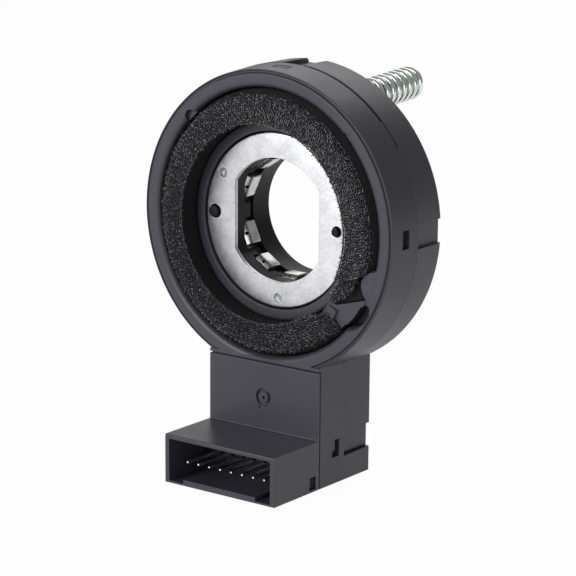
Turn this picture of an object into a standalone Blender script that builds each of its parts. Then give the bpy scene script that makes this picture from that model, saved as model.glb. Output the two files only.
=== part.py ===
# Steering angle sensor: a moulded ring housing on a small electronics box, with a rotor that
# turns in the ring and grips a double-D steering shaft.
# Metres, +Z up. X runs to the right of someone facing the foam ring, Y runs back through the bore.
# The origin is on the flat base, straight under the bore axis, in the plane of the drive plate's face.
# Every mesh is drawn about the bore axis, and its object carries it up to the bore's height.

import math

import bmesh
import bpy

mm = 0.001

# Fits
fit_gap = 0.3 * mm                  # clearance between pieces that touch on the real sensor
sink = 0.4 * mm                     # how far a joined shape starts inside its carrier
beyond = 2 * mm                     # how far a cut runs past the surface it opens

# Overall
bore_height = 48.3 * mm             # base to bore axis
face_stand = 3.65 * mm              # ring's front face, in front of the drive plate's face
rim_draft = 0.6 * mm                # how much smaller the front rim is
ring_parting = 3.45 * mm            # parting line of the ring, behind the plate's face
box_side_margin = 3.71 * mm         # box beside the row of contact pins
box_parting_step = 1.25 * mm        # box's parting line behind the ring's
box_back_step = 1.2 * mm            # rear face of the box behind the ring's
box_shoulder_rise = 3.9 * mm        # top of the box's rear, above the ring's lowest point
neck_depth = 3.2 * mm               # opening between the box and the ring, inside the rim
outer_wall = 1.5 * mm
rim_wall = 1.5 * mm
rear_wall = 1.2 * mm
base_wall = 1.2 * mm
rear_edge_radius = 0.8 * mm
box_edge_radius = 0.2 * mm
rim_edge_radius = 0.5 * mm
seat_edge_radius = 0.3 * mm
inside_corner = 0.5 * mm
parting_gap = fit_gap

# Foam seat in the front face
seat_width = 6.2 * mm               # from the collar to the seat's outer wall
seat_floor = 0.9 * mm               # behind the plate's face
seat_floor_wall = 1.2 * mm
seat_wall = 0.8 * mm
collar_lip = 0.4 * mm               # the collar stands this far in front of the plate's face
collar_wall = 2.1 * mm
collar_inner_edge = 0.15 * mm       # rounding of the collar's two front edges
collar_outer_edge = 0.5 * mm
foam_proud = 1.45 * mm              # foam in front of the ring's face
foam_gap_start = -54.5              # degrees, lower end of the foam
foam_gap_end = -18.5                # degrees, upper end of the foam
foam_edge_radius = 0.5 * mm
lug_drop = 1.35 * mm                # lug below the ring's face
lug_slot = 1.5 * mm                 # from the lug to the ring's face
lug_notch = 1.8 * mm                # width of the lug's narrow shoulder beside the collar
lug_angles = (-39.5, -38.0, -30.5, -49.0, -51.5)    # degrees, its corners from the collar round
lug_pad_angles = (-43.0, -51.0)
lug_pad_width = 2.6 * mm
lug_pad_height = 0.4 * mm
eject_angles = (44.5, 134.0)        # round pockets at the edge of the foam
eject_radius = 1.3 * mm
eject_depth = 1.0 * mm

# Front panel and connector
panel_top_margin = 1.3 * mm         # panel's top edge below the foam seat
panel_flange = 0.4 * mm
panel_plug = 1.4 * mm
shroud_reach = 13.25 * mm           # connector in front of the panel
shroud_height = 9.3 * mm
shroud_wall = 0.9 * mm
shroud_top_wall = 0.8 * mm
shroud_floor = 1.35 * mm            # connector's floor, in front of the panel
key_depth = 0.55 * mm
key_width = 3.4 * mm
side_slot_gap = 0.6 * mm            # side slot, in front of the panel
side_slot_length = 1.95 * mm
side_slot_low = 0.45 * mm
side_slot_height = 2.45 * mm
side_slot_depth = 0.7 * mm
mark_drop = 0.2 * mm                # moulded round mark, below the middle of the panel's free face
mark_radius = 1.45 * mm
mark_line = 0.3 * mm
mark_depth = 0.15 * mm

# Contact pins
pin_count = 8
pin_pitch = 2.54 * mm
pin_side = 0.64 * mm
pin_height = 4.0 * mm               # above the base
pin_tip_inset = 2.3 * mm            # tip behind the connector's mouth
pin_tip_length = 0.5 * mm
pin_past_board = 0.5 * mm

# Drive plate
plate_hole_radius = 11.55 * mm      # the steering shaft's hole
plate_rim = 4.75 * mm               # from the round hole to the plate's edge
plate_thickness = 0.8 * mm
plate_flat_depth = 1.95 * mm        # what the two flats take off the round hole
punch_radius = 0.55 * mm
punch_depth = 0.15 * mm
punch_places = ((1.85 * mm, 148.7), (1.7 * mm, 271.5))      # inside the plate's edge, angle

# Rotor hub
hub_bore_relief = 0.1 * mm          # hub's bore outside the plate's hole
hub_flat_relief = 0.6 * mm          # hub's flats outside the plate's flats
hub_proud = 1.7 * mm                # hub behind the ring's rear face
hub_wall = 1.25 * mm
hub_collar_step = 0.1 * mm
hub_collar_rise = 0.2 * mm          # slope up to the collar
hub_chamfer = 0.35 * mm
hub_groove_wall = 0.6 * mm          # hub's wall behind the pillars
pillar_face = 1.7 * mm              # length of the pillars' inner faces
window_step = 0.5 * mm              # windows behind the thrust ring
thrust_reach = 1.9 * mm             # thrust ring outside the collar's bore
thrust_thickness = 0.8 * mm
shoulder_step = 0.7 * mm
shoulder_height = 0.4 * mm
locating_pins = ((2.0 * mm, 180.0, 1.05 * mm), (2.7 * mm, -1.5, 0.75 * mm))  # inside the edge, angle, radius
locating_pin_stand = 0.7 * mm       # in front of the plate

# Clamping spring: ten flat leaves that reach in through the hub's windows
leaf_angles = (23.5, 56.75, 90.0, 123.25, 156.5)
leaf_wide = 4.4 * mm                # leaves beside the flats
leaf_narrow = 3.5 * mm
leaf_reach = 0.95 * mm              # leaf's crest inside the hub's bore
leaf_flare = 0.3 * mm
leaf_bend = 0.25 * mm               # size of the bend at each side of a leaf's crest
strip = 0.3 * mm                    # spring steel
leaf_clear = 0.4 * mm               # between the strip's edges and the window's
leaf_length = 3.6 * mm

# Code ring, bearing and board
code_thickness = 0.8 * mm
code_reach = 2.1 * mm               # code ring outside the thrust ring
code_skirt = 0.8 * mm
code_root = 0.3 * mm
code_teeth = 30
bearing_thickness = 1.0 * mm
bearing_length = 1.5 * mm
bearing_lip = 0.6 * mm
sleeve_wall = 0.8 * mm
sleeve_step = 0.8 * mm              # bearing's sleeve behind the hub's windows
board_thickness = 1.2 * mm
board_back_gap = 0.6 * mm
board_edge_gap = 1.6 * mm
board_side_gap = 0.5 * mm
board_base_gap = 0.6 * mm
post_angles = (35.0, 145.0, 215.0, 325.0)
post_inset = 2.0 * mm               # posts inside the board's edge
post_radius = 1.3 * mm
barrier_angles = (60.0, 120.0, 180.0)
barrier_wall = 1.5 * mm
barrier_slot_side = 0.4 * mm
barrier_half_width = 2.2 * mm
barrier_bridge = 0.8 * mm
part_edge_radius = 0.2 * mm
chip_half = 4.0 * mm
chip_lead_count = 8
chip_lead_length = 1.0 * mm
chip_drop = 0.35 * mm               # below the middle between the pins and the code ring
chip_thickness = 1.4 * mm
small_parts = (                     # name, x, height above the base, width, height, thickness
    ("capacitor_1", -7.6 * mm, 12.0 * mm, 2.0 * mm, 3.2 * mm, 1.3 * mm),
    ("capacitor_2", 7.6 * mm, 12.0 * mm, 2.0 * mm, 3.2 * mm, 1.3 * mm),
    ("oscillator", 7.4 * mm, 18.5 * mm, 2.5 * mm, 3.2 * mm, 0.9 * mm),
)

# Snap latches: a window in the front shell, an arm and a recess on the rear shell
latch_list = ((0.2, 0.55 * mm), (88.4, 0.9 * mm), (180.0, 0.55 * mm))   # angle and recess depth
latch_rise = 2.15 * mm              # window in front of the ring's parting line
latch_window_length = 1.9 * mm
latch_half_width = 1.7 * mm
latch_recess_half_width = 2.25 * mm
latch_arm = 0.9 * mm
latch_tip = 0.6 * mm
latch_sink = 0.85 * mm              # hook's crest below the outer face
latch_lead = 0.2 * mm               # slope at the hook's front
latch_foot = 3.0 * mm               # length of the arm's foot on the rear wall
box_latch_low = 5.1 * mm
box_latch_high = 8.4 * mm
box_latch_rise = 1.7 * mm           # window in front of the box's parting line
box_latch_length = 1.4 * mm
box_latch_foot_length = 0.8 * mm
box_latch_foot_height = 1.35 * mm
box_recess_depth = 0.83 * mm
box_recess_rise = 0.9 * mm

# Anti-rotation spring on the rear
coil_x = 9.6 * mm
coil_drop = 6.7 * mm                # below the ring's highest point
coil_tilt = 3.7                     # degrees, free end up
coil_radius = 3.15 * mm
coil_wire = 1.25 * mm
coil_pitch = 1.8 * mm
coil_turns = 7.95                   # open turns
coil_closed_gap = 0.05 * mm         # between the closed turns
coil_closed_turns = 0.75            # closed turns at each end
stud_length = 6.0 * mm
stud_chamfer = 0.5 * mm

round_steps = 64
hub_steps = 48
foam_steps = 48
corner_steps = 2

# Places worked out from the sizes above
base = -bore_height
front_face = -face_stand
plate_radius = plate_hole_radius + plate_rim
collar_bore = plate_radius + fit_gap
seat_inner_radius = collar_bore + collar_wall
seat_outer_radius = seat_inner_radius + seat_width
seat_floor_back = seat_floor + seat_floor_wall
rim_slot_inner = seat_outer_radius + seat_wall
rim_slot_outer = rim_slot_inner + latch_arm + 2 * fit_gap
ring_radius = rim_slot_outer + outer_wall       # at the parting line
panel_top_drop = seat_outer_radius + panel_top_margin
box_shoulder_drop = ring_radius - box_shoulder_rise
box_half_width = (pin_count - 1) / 2 * pin_pitch + box_side_margin
box_parting = ring_parting + box_parting_step
plate_half_flat = plate_hole_radius - plate_flat_depth
hub_bore_radius = plate_hole_radius + hub_bore_relief
hub_half_flat = plate_half_flat + hub_flat_relief
hub_sleeve_radius = hub_bore_radius + hub_wall
hub_collar_radius = hub_sleeve_radius + hub_collar_step
hub_groove_radius = hub_sleeve_radius - hub_groove_wall
shoulder_radius = hub_sleeve_radius + shoulder_step
leaf_crest = hub_bore_radius - leaf_reach
shell_front_end = ring_parting - parting_gap / 2
shell_rear_start = ring_parting + parting_gap / 2
panel_back = front_face + panel_flange
mouth = front_face - shroud_reach
hub_front = plate_thickness + fit_gap
thrust_front = seat_floor_back + fit_gap
thrust_back = thrust_front + thrust_thickness
thrust_radius = collar_bore + thrust_reach
window_front = thrust_back + window_step
pillar_back = window_front + pillar_face
leaf_front = window_front + leaf_clear
leaf_back = leaf_front + leaf_length
window_back = leaf_back + leaf_clear
sleeve_front = window_back + sleeve_step
bearing_back = sleeve_front + fit_gap + bearing_length
ring_back = bearing_back + fit_gap + bearing_lip
hub_back = ring_back + hub_proud
box_back = ring_back + box_back_step
cavity_back = ring_back - rear_wall
board_back = cavity_back - board_back_gap
board_front = board_back - board_thickness
board_radius = rim_slot_outer - board_edge_gap
post_circle = board_radius - post_inset
band_radius = hub_sleeve_radius + fit_gap
code_front = thrust_back + fit_gap
code_radius = thrust_radius + code_reach
code_back = board_front - 2 * fit_gap - barrier_bridge
barrier_front = code_front + code_thickness + code_root + fit_gap
bearing_bore = hub_collar_radius + fit_gap
sleeve_bore = bearing_bore + bearing_thickness + fit_gap
pin_level = base + pin_height
inner_half_width = box_half_width - outer_wall
board_half_width = inner_half_width - board_side_gap
coil_z = ring_radius - coil_drop
chip_level = (pin_level - code_radius) / 2 - chip_drop
mark_level = (base + shroud_height - panel_top_drop) / 2 - mark_drop
arm_outer = rim_slot_outer - fit_gap
arm_inner = arm_outer - latch_arm
latch_window_back = ring_parting - latch_rise
latch_window_front = latch_window_back - latch_window_length
box_latch_back = box_parting - box_latch_rise
box_latch_front = box_latch_back - box_latch_length
box_latch_foot = box_latch_front - box_latch_foot_length
# Where the box's side meets the ring: the front shell stops below the ring's round edge there
box_step_level = -math.sqrt(ring_radius ** 2 - inner_half_width ** 2) - fit_gap


def clear_scene():
    for item in list(bpy.data.objects):
        bpy.data.objects.remove(item, do_unlink=True)


def material(name, colour, rough, metal=0.0):
    made = bpy.data.materials.new(name)
    made.use_nodes = True
    shader = made.node_tree.nodes["Principled BSDF"]
    shader.inputs["Base Color"].default_value = (*colour, 1.0)
    shader.inputs["Roughness"].default_value = rough
    shader.inputs["Metallic"].default_value = metal
    return made


def rounded(points):
    """A closed outline; a point with a third number gets a round corner of that radius."""
    out = []
    count = len(points)
    for i, point in enumerate(points):
        if len(point) == 2:
            out.append((point[0], point[1]))
            continue
        x, y, radius = point
        ax, ay = points[i - 1][0] - x, points[i - 1][1] - y
        bx, by = points[(i + 1) % count][0] - x, points[(i + 1) % count][1] - y
        la, lb = math.hypot(ax, ay), math.hypot(bx, by)
        ax, ay, bx, by = ax / la, ay / la, bx / lb, by / lb
        half = math.acos(max(-1.0, min(1.0, ax * bx + ay * by))) / 2
        reach = min(radius / math.tan(half), 0.49 * la, 0.49 * lb)
        radius = reach * math.tan(half)
        mx, my = ax + bx, ay + by
        length = math.hypot(mx, my)
        cx = x + mx / length * radius / math.sin(half)
        cy = y + my / length * radius / math.sin(half)
        start = math.atan2(y + ay * reach - cy, x + ax * reach - cx)
        end = math.atan2(y + by * reach - cy, x + bx * reach - cx)
        sweep = (end - start + math.pi) % (2 * math.pi) - math.pi
        for step in range(corner_steps + 1):
            angle = start + sweep * step / corner_steps
            out.append((cx + radius * math.cos(angle), cy + radius * math.sin(angle)))
    return out


def polar(radius, degrees):
    angle = math.radians(degrees)
    return radius * math.cos(angle), radius * math.sin(angle)


def circle(cx, cz, radius, steps):
    return [(cx + radius * math.cos(2 * math.pi * i / steps), cz + radius * math.sin(2 * math.pi * i / steps))
            for i in range(steps)]


def revolve(profile, steps, start=0.0, end=360.0):
    """Turns a closed (radius, y) outline about the bore axis, all round or from start to end."""
    whole = end - start >= 360.0
    columns = steps if whole else steps + 1
    count = len(profile)
    verts = []
    for i in range(columns):
        angle = math.radians(start + (end - start) * i / steps)
        verts += [(r * math.cos(angle), y, r * math.sin(angle)) for r, y in profile]
    faces = []
    for i in range(steps):
        a, b = i * count, ((i + 1) % columns) * count
        for j in range(count):
            k = (j + 1) % count
            faces.append((a + j, a + k, b + k, b + j))
    if not whole:
        faces.append(tuple(range(count)))
        faces.append(tuple((columns - 1) * count + j for j in range(count)))
    return verts, faces


def prism(outline, axis, low, high):
    """Extrudes a closed outline along x, y or z; the outline holds the other two, in order."""
    place = {"x": lambda a, b, c: (c, a, b),
             "y": lambda a, b, c: (a, c, b),
             "z": lambda a, b, c: (a, b, c)}[axis]
    count = len(outline)
    verts = [place(a, b, low) for a, b in outline] + [place(a, b, high) for a, b in outline]
    faces = [(j, (j + 1) % count, count + (j + 1) % count, count + j) for j in range(count)]
    faces += [tuple(range(count)), tuple(range(count, 2 * count))]
    return verts, faces


def block(x0, x1, y0, y1, z0, z1):
    return prism([(x0, z0), (x1, z0), (x1, z1), (x0, z1)], "y", y0, y1)


def radial(outline, half_width, degrees):
    """A (radius, y) outline made half_width thick to each side, then turned to its angle."""
    angle = math.radians(degrees)
    c, s = math.cos(angle), math.sin(angle)
    count = len(outline)
    verts = []
    for t in (-half_width, half_width):
        verts += [(r * c - t * s, y, r * s + t * c) for r, y in outline]
    faces = [(j, (j + 1) % count, count + (j + 1) % count, count + j) for j in range(count)]
    faces += [tuple(range(count)), tuple(range(count, 2 * count))]
    return verts, faces


def together(*shapes):
    verts, faces = [], []
    for shape_verts, shape_faces in shapes:
        first = len(verts)
        verts += shape_verts
        faces += [tuple(first + index for index in face) for face in shape_faces]
    return verts, faces


def build_object(name, shape, look, parent):
    mesh = bpy.data.meshes.new(name)
    mesh.from_pydata(shape[0], [], shape[1])
    shell = bmesh.new()
    shell.from_mesh(mesh)
    bmesh.ops.recalc_face_normals(shell, faces=shell.faces)
    shell.to_mesh(mesh)
    shell.free()
    mesh.shade_smooth()
    mesh.set_sharp_from_angle(angle=math.radians(32))
    made = bpy.data.objects.new(name, mesh)
    if look:
        mesh.materials.append(look)
    made.parent = parent
    bpy.context.scene.collection.objects.link(made)
    return made


def combine(target, name, shape, operation, parent):
    """Adds a Boolean with a hidden helper solid."""
    helper = build_object(name, shape, None, parent)
    helper.hide_render = True
    helper.display_type = "WIRE"
    step = target.modifiers.new(name, "BOOLEAN")
    step.operation = operation
    step.object = helper
    return helper


def holed_plate(outer, holes, y0, y1):
    """A flat sheet between two planes, with holes right through."""
    sheet = bmesh.new()
    for loop in [outer] + holes:
        ring = [sheet.verts.new((x, y0, z)) for x, z in loop]
        for i, vert in enumerate(ring):
            sheet.edges.new((vert, ring[(i + 1) % len(ring)]))
    bmesh.ops.triangle_fill(sheet, use_beauty=True, use_dissolve=False, edges=sheet.edges[:])
    grown = bmesh.ops.extrude_face_region(sheet, geom=sheet.faces[:])
    for item in grown["geom"]:
        if isinstance(item, bmesh.types.BMVert):
            item.co.y = y1
    sheet.verts.index_update()
    verts = [tuple(vert.co) for vert in sheet.verts]
    faces = [tuple(vert.index for vert in face.verts) for face in sheet.faces]
    sheet.free()
    return verts, faces


def double_d(radius, half_flat, steps):
    """Outline of a round hole with two flats, at plus and minus half_flat in x."""
    corner = math.degrees(math.acos(half_flat / radius))
    out = []
    for first in (corner, 180 + corner):
        out += [polar(radius, first + (180 - 2 * corner) * i / steps) for i in range(steps + 1)]
    return out


def offset_outline(outline, distance):
    """Moves a closed, counter-clockwise outline outwards by a fixed distance."""
    out = []
    count = len(outline)
    for i, (x, y) in enumerate(outline):
        px, py = outline[i - 1]
        nx, ny = outline[(i + 1) % count]
        ax, ay, bx, by = x - px, y - py, nx - x, ny - y
        la, lb = math.hypot(ax, ay), math.hypot(bx, by)
        n1, n2 = (ay / la, -ax / la), (by / lb, -bx / lb)
        mx, my = n1[0] + n2[0], n1[1] + n2[1]
        scale = distance / (1 + n1[0] * n2[0] + n1[1] * n2[1])
        out.append((x + mx * scale, y + my * scale))
    return out


def leaf_places():
    """Angle and width of each leaf, all round."""
    near_flat = (leaf_angles[0], leaf_angles[-1])
    for turn in (0.0, 180.0):
        for angle in leaf_angles:
            yield angle + turn, leaf_wide if angle in near_flat else leaf_narrow


def front_housing(look, parent):
    rim_radius = ring_radius - rim_draft
    profile = rounded([
        (collar_bore, seat_floor_back),
        (collar_bore, -collar_lip, collar_inner_edge),
        (seat_inner_radius, -collar_lip, collar_outer_edge),
        (seat_inner_radius, seat_floor),
        (seat_outer_radius, seat_floor),
        (seat_outer_radius, front_face, seat_edge_radius),
        (rim_radius, front_face, rim_edge_radius),
        (ring_radius, shell_front_end),
        (rim_slot_outer, shell_front_end),
        (rim_slot_outer, front_face + rim_wall),
        (rim_slot_inner, front_face + rim_wall),
        (rim_slot_inner, seat_floor_back),
    ])
    housing = build_object("front_housing", revolve(profile, round_steps), look, parent)
    # The box below the ring, stepped back where the two parting lines differ, with a lip over the panel
    neck_top = -(seat_outer_radius + seat_wall / 2)
    lip_level = -panel_top_drop + fit_gap
    side = [(panel_back + fit_gap, base), (box_parting - parting_gap / 2, base),
            (box_parting - parting_gap / 2, box_step_level), (shell_front_end - fit_gap, box_step_level),
            (shell_front_end - fit_gap, neck_top), (front_face, neck_top),
            (front_face, lip_level), (panel_back + fit_gap, lip_level)]
    combine(housing, "front_box", prism(side, "x", -box_half_width, box_half_width), "UNION", parent)
    pocket = block(-box_half_width - beyond, box_half_width + beyond, mouth, panel_back + fit_gap,
                   base - beyond, lip_level)
    combine(housing, "panel_seat", pocket, "DIFFERENCE", parent)
    cavity = block(-inner_half_width, inner_half_width, mouth, box_parting + beyond,
                   base + base_wall, -panel_top_drop - fit_gap)
    combine(housing, "box_cavity", cavity, "DIFFERENCE", parent)
    # Posts that carry the board, and the lug in the foam's gap
    posts = []
    for angle in post_angles:
        x, z = polar(post_circle, angle)
        posts.append(prism(circle(x, z, post_radius, 12), "y", seat_floor_back - sink, board_front - fit_gap))
    lug_root, lug_end = seat_inner_radius - sink, seat_outer_radius - lug_slot
    lug_radii = (lug_root, lug_root + lug_notch, lug_end, lug_end, lug_root)
    outline = [polar(radius, angle) for radius, angle in zip(lug_radii, lug_angles)]
    lug_front = front_face + lug_drop
    lug = prism(outline, "y", lug_front, seat_floor + sink)
    combine(housing, "front_posts", together(*posts, lug), "UNION", parent)
    pad = [polar(radius, angle) for radius, angle in zip(
        (lug_root + sink, lug_root + lug_pad_width, lug_root + lug_pad_width, lug_root + sink),
        (lug_pad_angles[0], lug_pad_angles[0], lug_pad_angles[1], lug_pad_angles[1]))]
    combine(housing, "lug_pad", prism(pad, "y", lug_front - lug_pad_height, lug_front + sink), "UNION", parent)
    # Latch windows in the rim, round pockets in the face, latch windows in the box
    cuts = []
    for angle, depth in latch_list:
        inside = (rim_slot_inner + rim_slot_outer) / 2
        cuts.append(radial([(inside, latch_window_front), (ring_radius + beyond, latch_window_front),
                            (ring_radius + beyond, latch_window_back), (inside, latch_window_back)],
                           latch_half_width, angle))
    for angle in eject_angles:
        x, z = polar(seat_outer_radius, angle)
        cuts.append(prism(circle(x, z, eject_radius, 16), "y", front_face - beyond, front_face + eject_depth))
    foot_top = base + box_latch_low + box_latch_foot_height
    window = [(box_latch_foot, base + box_latch_low), (box_latch_back, base + box_latch_low),
              (box_latch_back, base + box_latch_high), (box_latch_front, base + box_latch_high),
              (box_latch_front, foot_top), (box_latch_foot, foot_top)]
    for side_sign in (-1, 1):
        ends = sorted((side_sign * (inner_half_width - sink), side_sign * (box_half_width + beyond)))
        cuts.append(prism(window, "x", ends[0], ends[1]))
    combine(housing, "front_windows", together(*cuts), "DIFFERENCE", parent)
    return housing


def latch_arm_outline(inner, outer, crest, root, places):
    """A snap arm in side view, from its tip and hook to the foot that joins it to the rear wall."""
    tip, hook_front, hook_back, start = places
    return [(inner, tip), (outer, tip), (outer, hook_front), (crest, hook_front + latch_lead),
            (crest, hook_back), (outer, hook_back), (outer, start + fit_gap),
            (root, start + fit_gap + latch_lead), (root, start + latch_foot),
            (inner, start + latch_foot + sink)]


def rear_housing(look, parent):
    profile = rounded([
        (ring_radius, shell_rear_start),
        (ring_radius, ring_back, rear_edge_radius),
        (bearing_bore, ring_back),
        (bearing_bore, ring_back - bearing_lip),
        (sleeve_bore, ring_back - bearing_lip),
        (sleeve_bore, sleeve_front),
        (sleeve_bore + sleeve_wall, sleeve_front),
        (sleeve_bore + sleeve_wall, cavity_back),
        (rim_slot_outer, cavity_back, inside_corner),
        (rim_slot_outer, shell_rear_start),
    ])
    housing = build_object("rear_housing", revolve(profile, round_steps), look, parent)
    box_start = box_parting + parting_gap / 2
    plan = rounded([(-box_half_width, box_start), (box_half_width, box_start),
                    (box_half_width, box_back, box_edge_radius), (-box_half_width, box_back, box_edge_radius)])
    combine(housing, "rear_box", prism(plan, "z", base, -box_shoulder_drop), "UNION", parent)
    # Cheeks that close the corner between the ring's parting line and the box's
    cheeks = []
    for side_sign in (-1, 1):
        ends = sorted((side_sign * inner_half_width, side_sign * box_half_width))
        cheeks.append(block(ends[0], ends[1], shell_rear_start, box_start + sink,
                            box_step_level + fit_gap, -box_shoulder_drop))
    combine(housing, "box_cheeks", together(*cheeks), "UNION", parent)
    box_wall_back = box_back - outer_wall
    neck_inside = -(rim_slot_outer - neck_depth)
    side = [(shell_rear_start - beyond, base + base_wall), (box_wall_back, base + base_wall),
            (box_wall_back, -panel_top_drop), (cavity_back - sink / 2, -panel_top_drop),
            (cavity_back - sink / 2, neck_inside), (shell_rear_start - beyond, neck_inside)]
    combine(housing, "rear_cavity", prism(side, "x", -inner_half_width, inner_half_width), "DIFFERENCE", parent)
    # Recesses behind the latches
    cuts = []
    for angle, depth in latch_list:
        floor = ring_radius - depth
        outside, ahead, behind = ring_radius + beyond, shell_rear_start - beyond, ring_back + beyond
        recess = [(floor, ahead), (outside, ahead), (outside, behind), (floor, behind)]
        cuts.append(radial(recess, latch_recess_half_width, angle))
    low, high = base + box_latch_low - box_recess_rise / 2, base + box_latch_high + box_recess_rise
    for side_sign in (-1, 1):
        ends = sorted((side_sign * (box_half_width - box_recess_depth), side_sign * (box_half_width + beyond)))
        cuts.append(block(ends[0], ends[1], box_parting - beyond, box_back + beyond, low, high))
    combine(housing, "latch_recesses", together(*cuts), "DIFFERENCE", parent)
    # Latch arms, board rests and the spring's stud
    adds = []
    hook_front, hook_back = latch_window_front + fit_gap, latch_window_back - fit_gap
    hook_reach = ring_radius - rim_draft / 2 - latch_sink
    arms = latch_arm_outline(arm_inner, arm_outer, hook_reach, rim_slot_outer + sink,
                             (latch_window_front - latch_tip, hook_front, hook_back, shell_rear_start))
    for angle, depth in latch_list:
        adds.append(radial(arms, latch_half_width - fit_gap, angle))
    outer = inner_half_width - fit_gap
    hook_front, hook_back = box_latch_front + fit_gap, box_latch_back - fit_gap
    arms = latch_arm_outline(outer - latch_arm, outer, box_half_width - latch_sink, inner_half_width + sink,
                             (box_latch_foot - latch_tip / 2, hook_front, hook_back, box_start))
    for side_sign in (-1, 1):
        arm = [(side_sign * x, y) for x, y in arms]
        adds.append(prism(arm, "z", base + box_latch_low + fit_gap, base + box_latch_high - fit_gap))
    for angle in post_angles:
        x, z = polar(post_circle, angle)
        adds.append(prism(circle(x, z, post_radius, 12), "y", board_back + fit_gap, cavity_back + sink))
    combine(housing, "rear_arms", together(*adds), "UNION", parent)
    stud_radius = coil_radius - coil_wire - fit_gap
    tilt = math.radians(coil_tilt)
    verts = []
    steps = 16
    rings = ((-sink, stud_radius), (stud_length - stud_chamfer, stud_radius),
             (stud_length, stud_radius - stud_chamfer))
    for along, radius in rings:
        for x, z in circle(0, 0, radius, steps):
            y = along * math.cos(tilt) - z * math.sin(tilt)
            verts.append((coil_x + x, ring_back + y, coil_z + along * math.sin(tilt) + z * math.cos(tilt)))
    faces = [tuple(range(steps)), tuple(range(2 * steps, 3 * steps))]
    for level in range(2):
        for i in range(steps):
            j = (i + 1) % steps
            low, high = level * steps, (level + 1) * steps
            faces.append((low + i, low + j, high + j, high + i))
    combine(housing, "spring_stud", (verts, faces), "UNION", parent)
    return housing


def connector_body(look, parent):
    top = base + shroud_height
    side = rounded([(mouth, base), (panel_back, base), (panel_back, -panel_top_drop),
                    (front_face, -panel_top_drop), (front_face, top), (mouth, top)])
    body = build_object("connector_body", prism(side, "x", -box_half_width, box_half_width), look, parent)
    plug_half = inner_half_width - fit_gap
    plug = block(-plug_half, plug_half, panel_back - panel_flange / 2, panel_back + panel_plug,
                 base + base_wall + fit_gap, -panel_top_drop - 2 * fit_gap)
    combine(body, "panel_plug_block", plug, "UNION", parent)
    inner = box_half_width - shroud_wall
    cavity_end = front_face - shroud_floor
    floor = base + shroud_wall
    hollow = [(-inner, floor - key_depth), (-inner + key_width, floor - key_depth), (-inner + key_width, floor),
              (inner - key_width, floor), (inner - key_width, floor - key_depth), (inner, floor - key_depth),
              (inner, top - shroud_top_wall), (-inner, top - shroud_top_wall)]
    combine(body, "connector_hollow", prism(hollow, "y", mouth - beyond, cavity_end), "DIFFERENCE", parent)
    cuts = []
    half = pin_side / 2 + fit_gap
    for i in range(pin_count):
        x = (i - (pin_count - 1) / 2) * pin_pitch
        cuts.append(block(x - half, x + half, cavity_end - sink, panel_back + panel_plug + beyond,
                          pin_level - half, pin_level + half))
    for side_sign in (-1, 1):
        ends = sorted((side_sign * (box_half_width - side_slot_depth), side_sign * (box_half_width + beyond)))
        slot_back = front_face - side_slot_gap
        cuts.append(block(ends[0], ends[1], slot_back - side_slot_length, slot_back,
                          base + side_slot_low, base + side_slot_low + side_slot_height))
    combine(body, "connector_cuts", together(*cuts), "DIFFERENCE", parent)
    # Round moulded mark: a ring line and a centre dot
    inside, outside = mark_radius - mark_line / 2, mark_radius + mark_line / 2
    line = revolve([(inside, front_face - beyond), (outside, front_face - beyond),
                    (outside, front_face + mark_depth), (inside, front_face + mark_depth)], 24)
    line = ([(x, y, z + mark_level) for x, y, z in line[0]], line[1])
    dot = prism(circle(0, mark_level, mark_line, 8), "y", front_face - beyond, front_face + mark_depth)
    combine(body, "mould_mark", together(line, dot), "DIFFERENCE", parent)
    return body


def contact_pins(look, parent):
    tip = mouth + pin_tip_inset
    end = board_back + pin_past_board
    half = pin_side / 2
    for i in range(pin_count):
        x = (i - (pin_count - 1) / 2) * pin_pitch
        shape_verts = []
        for y, size in ((tip, half / 2), (tip + pin_tip_length, half),
                        (end - pin_tip_length, half), (end, half / 2)):
            shape_verts += [(x - size, y, pin_level - size), (x + size, y, pin_level - size),
                            (x + size, y, pin_level + size), (x - size, y, pin_level + size)]
        faces = [(0, 1, 2, 3), (12, 13, 14, 15)]
        for level in range(3):
            for j in range(4):
                k = (j + 1) % 4
                faces.append((4 * level + j, 4 * level + k, 4 * level + 4 + k, 4 * level + 4 + j))
        build_object("contact_pin_%d" % (i + 1), (shape_verts, faces), look, parent)


def foam_seal(look, parent):
    inner, outer = seat_inner_radius + fit_gap, seat_outer_radius - fit_gap
    front = front_face - foam_proud
    profile = rounded([(inner, front, foam_edge_radius), (outer, front, foam_edge_radius),
                       (outer, seat_floor - fit_gap), (inner, seat_floor - fit_gap)])
    build_object("foam_seal", revolve(profile, foam_steps, foam_gap_end, foam_gap_start + 360), look, parent)


def drive_plate(look, parent):
    holes = [double_d(plate_hole_radius, plate_half_flat, 18)]
    for inset, angle, size in locating_pins:
        x, z = polar(plate_radius - inset, angle)
        holes.append(circle(x, z, size + fit_gap, 16))
    outline = circle(0, 0, plate_radius, round_steps)
    plate = build_object("drive_plate", holed_plate(outline, holes, 0, plate_thickness), look, parent)
    marks = []
    for inset, angle in punch_places:
        x, z = polar(plate_radius - inset, angle)
        marks.append(prism(circle(x, z, punch_radius, 12), "y", -beyond, punch_depth))
    combine(plate, "punch_marks", together(*marks), "DIFFERENCE", parent)


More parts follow.
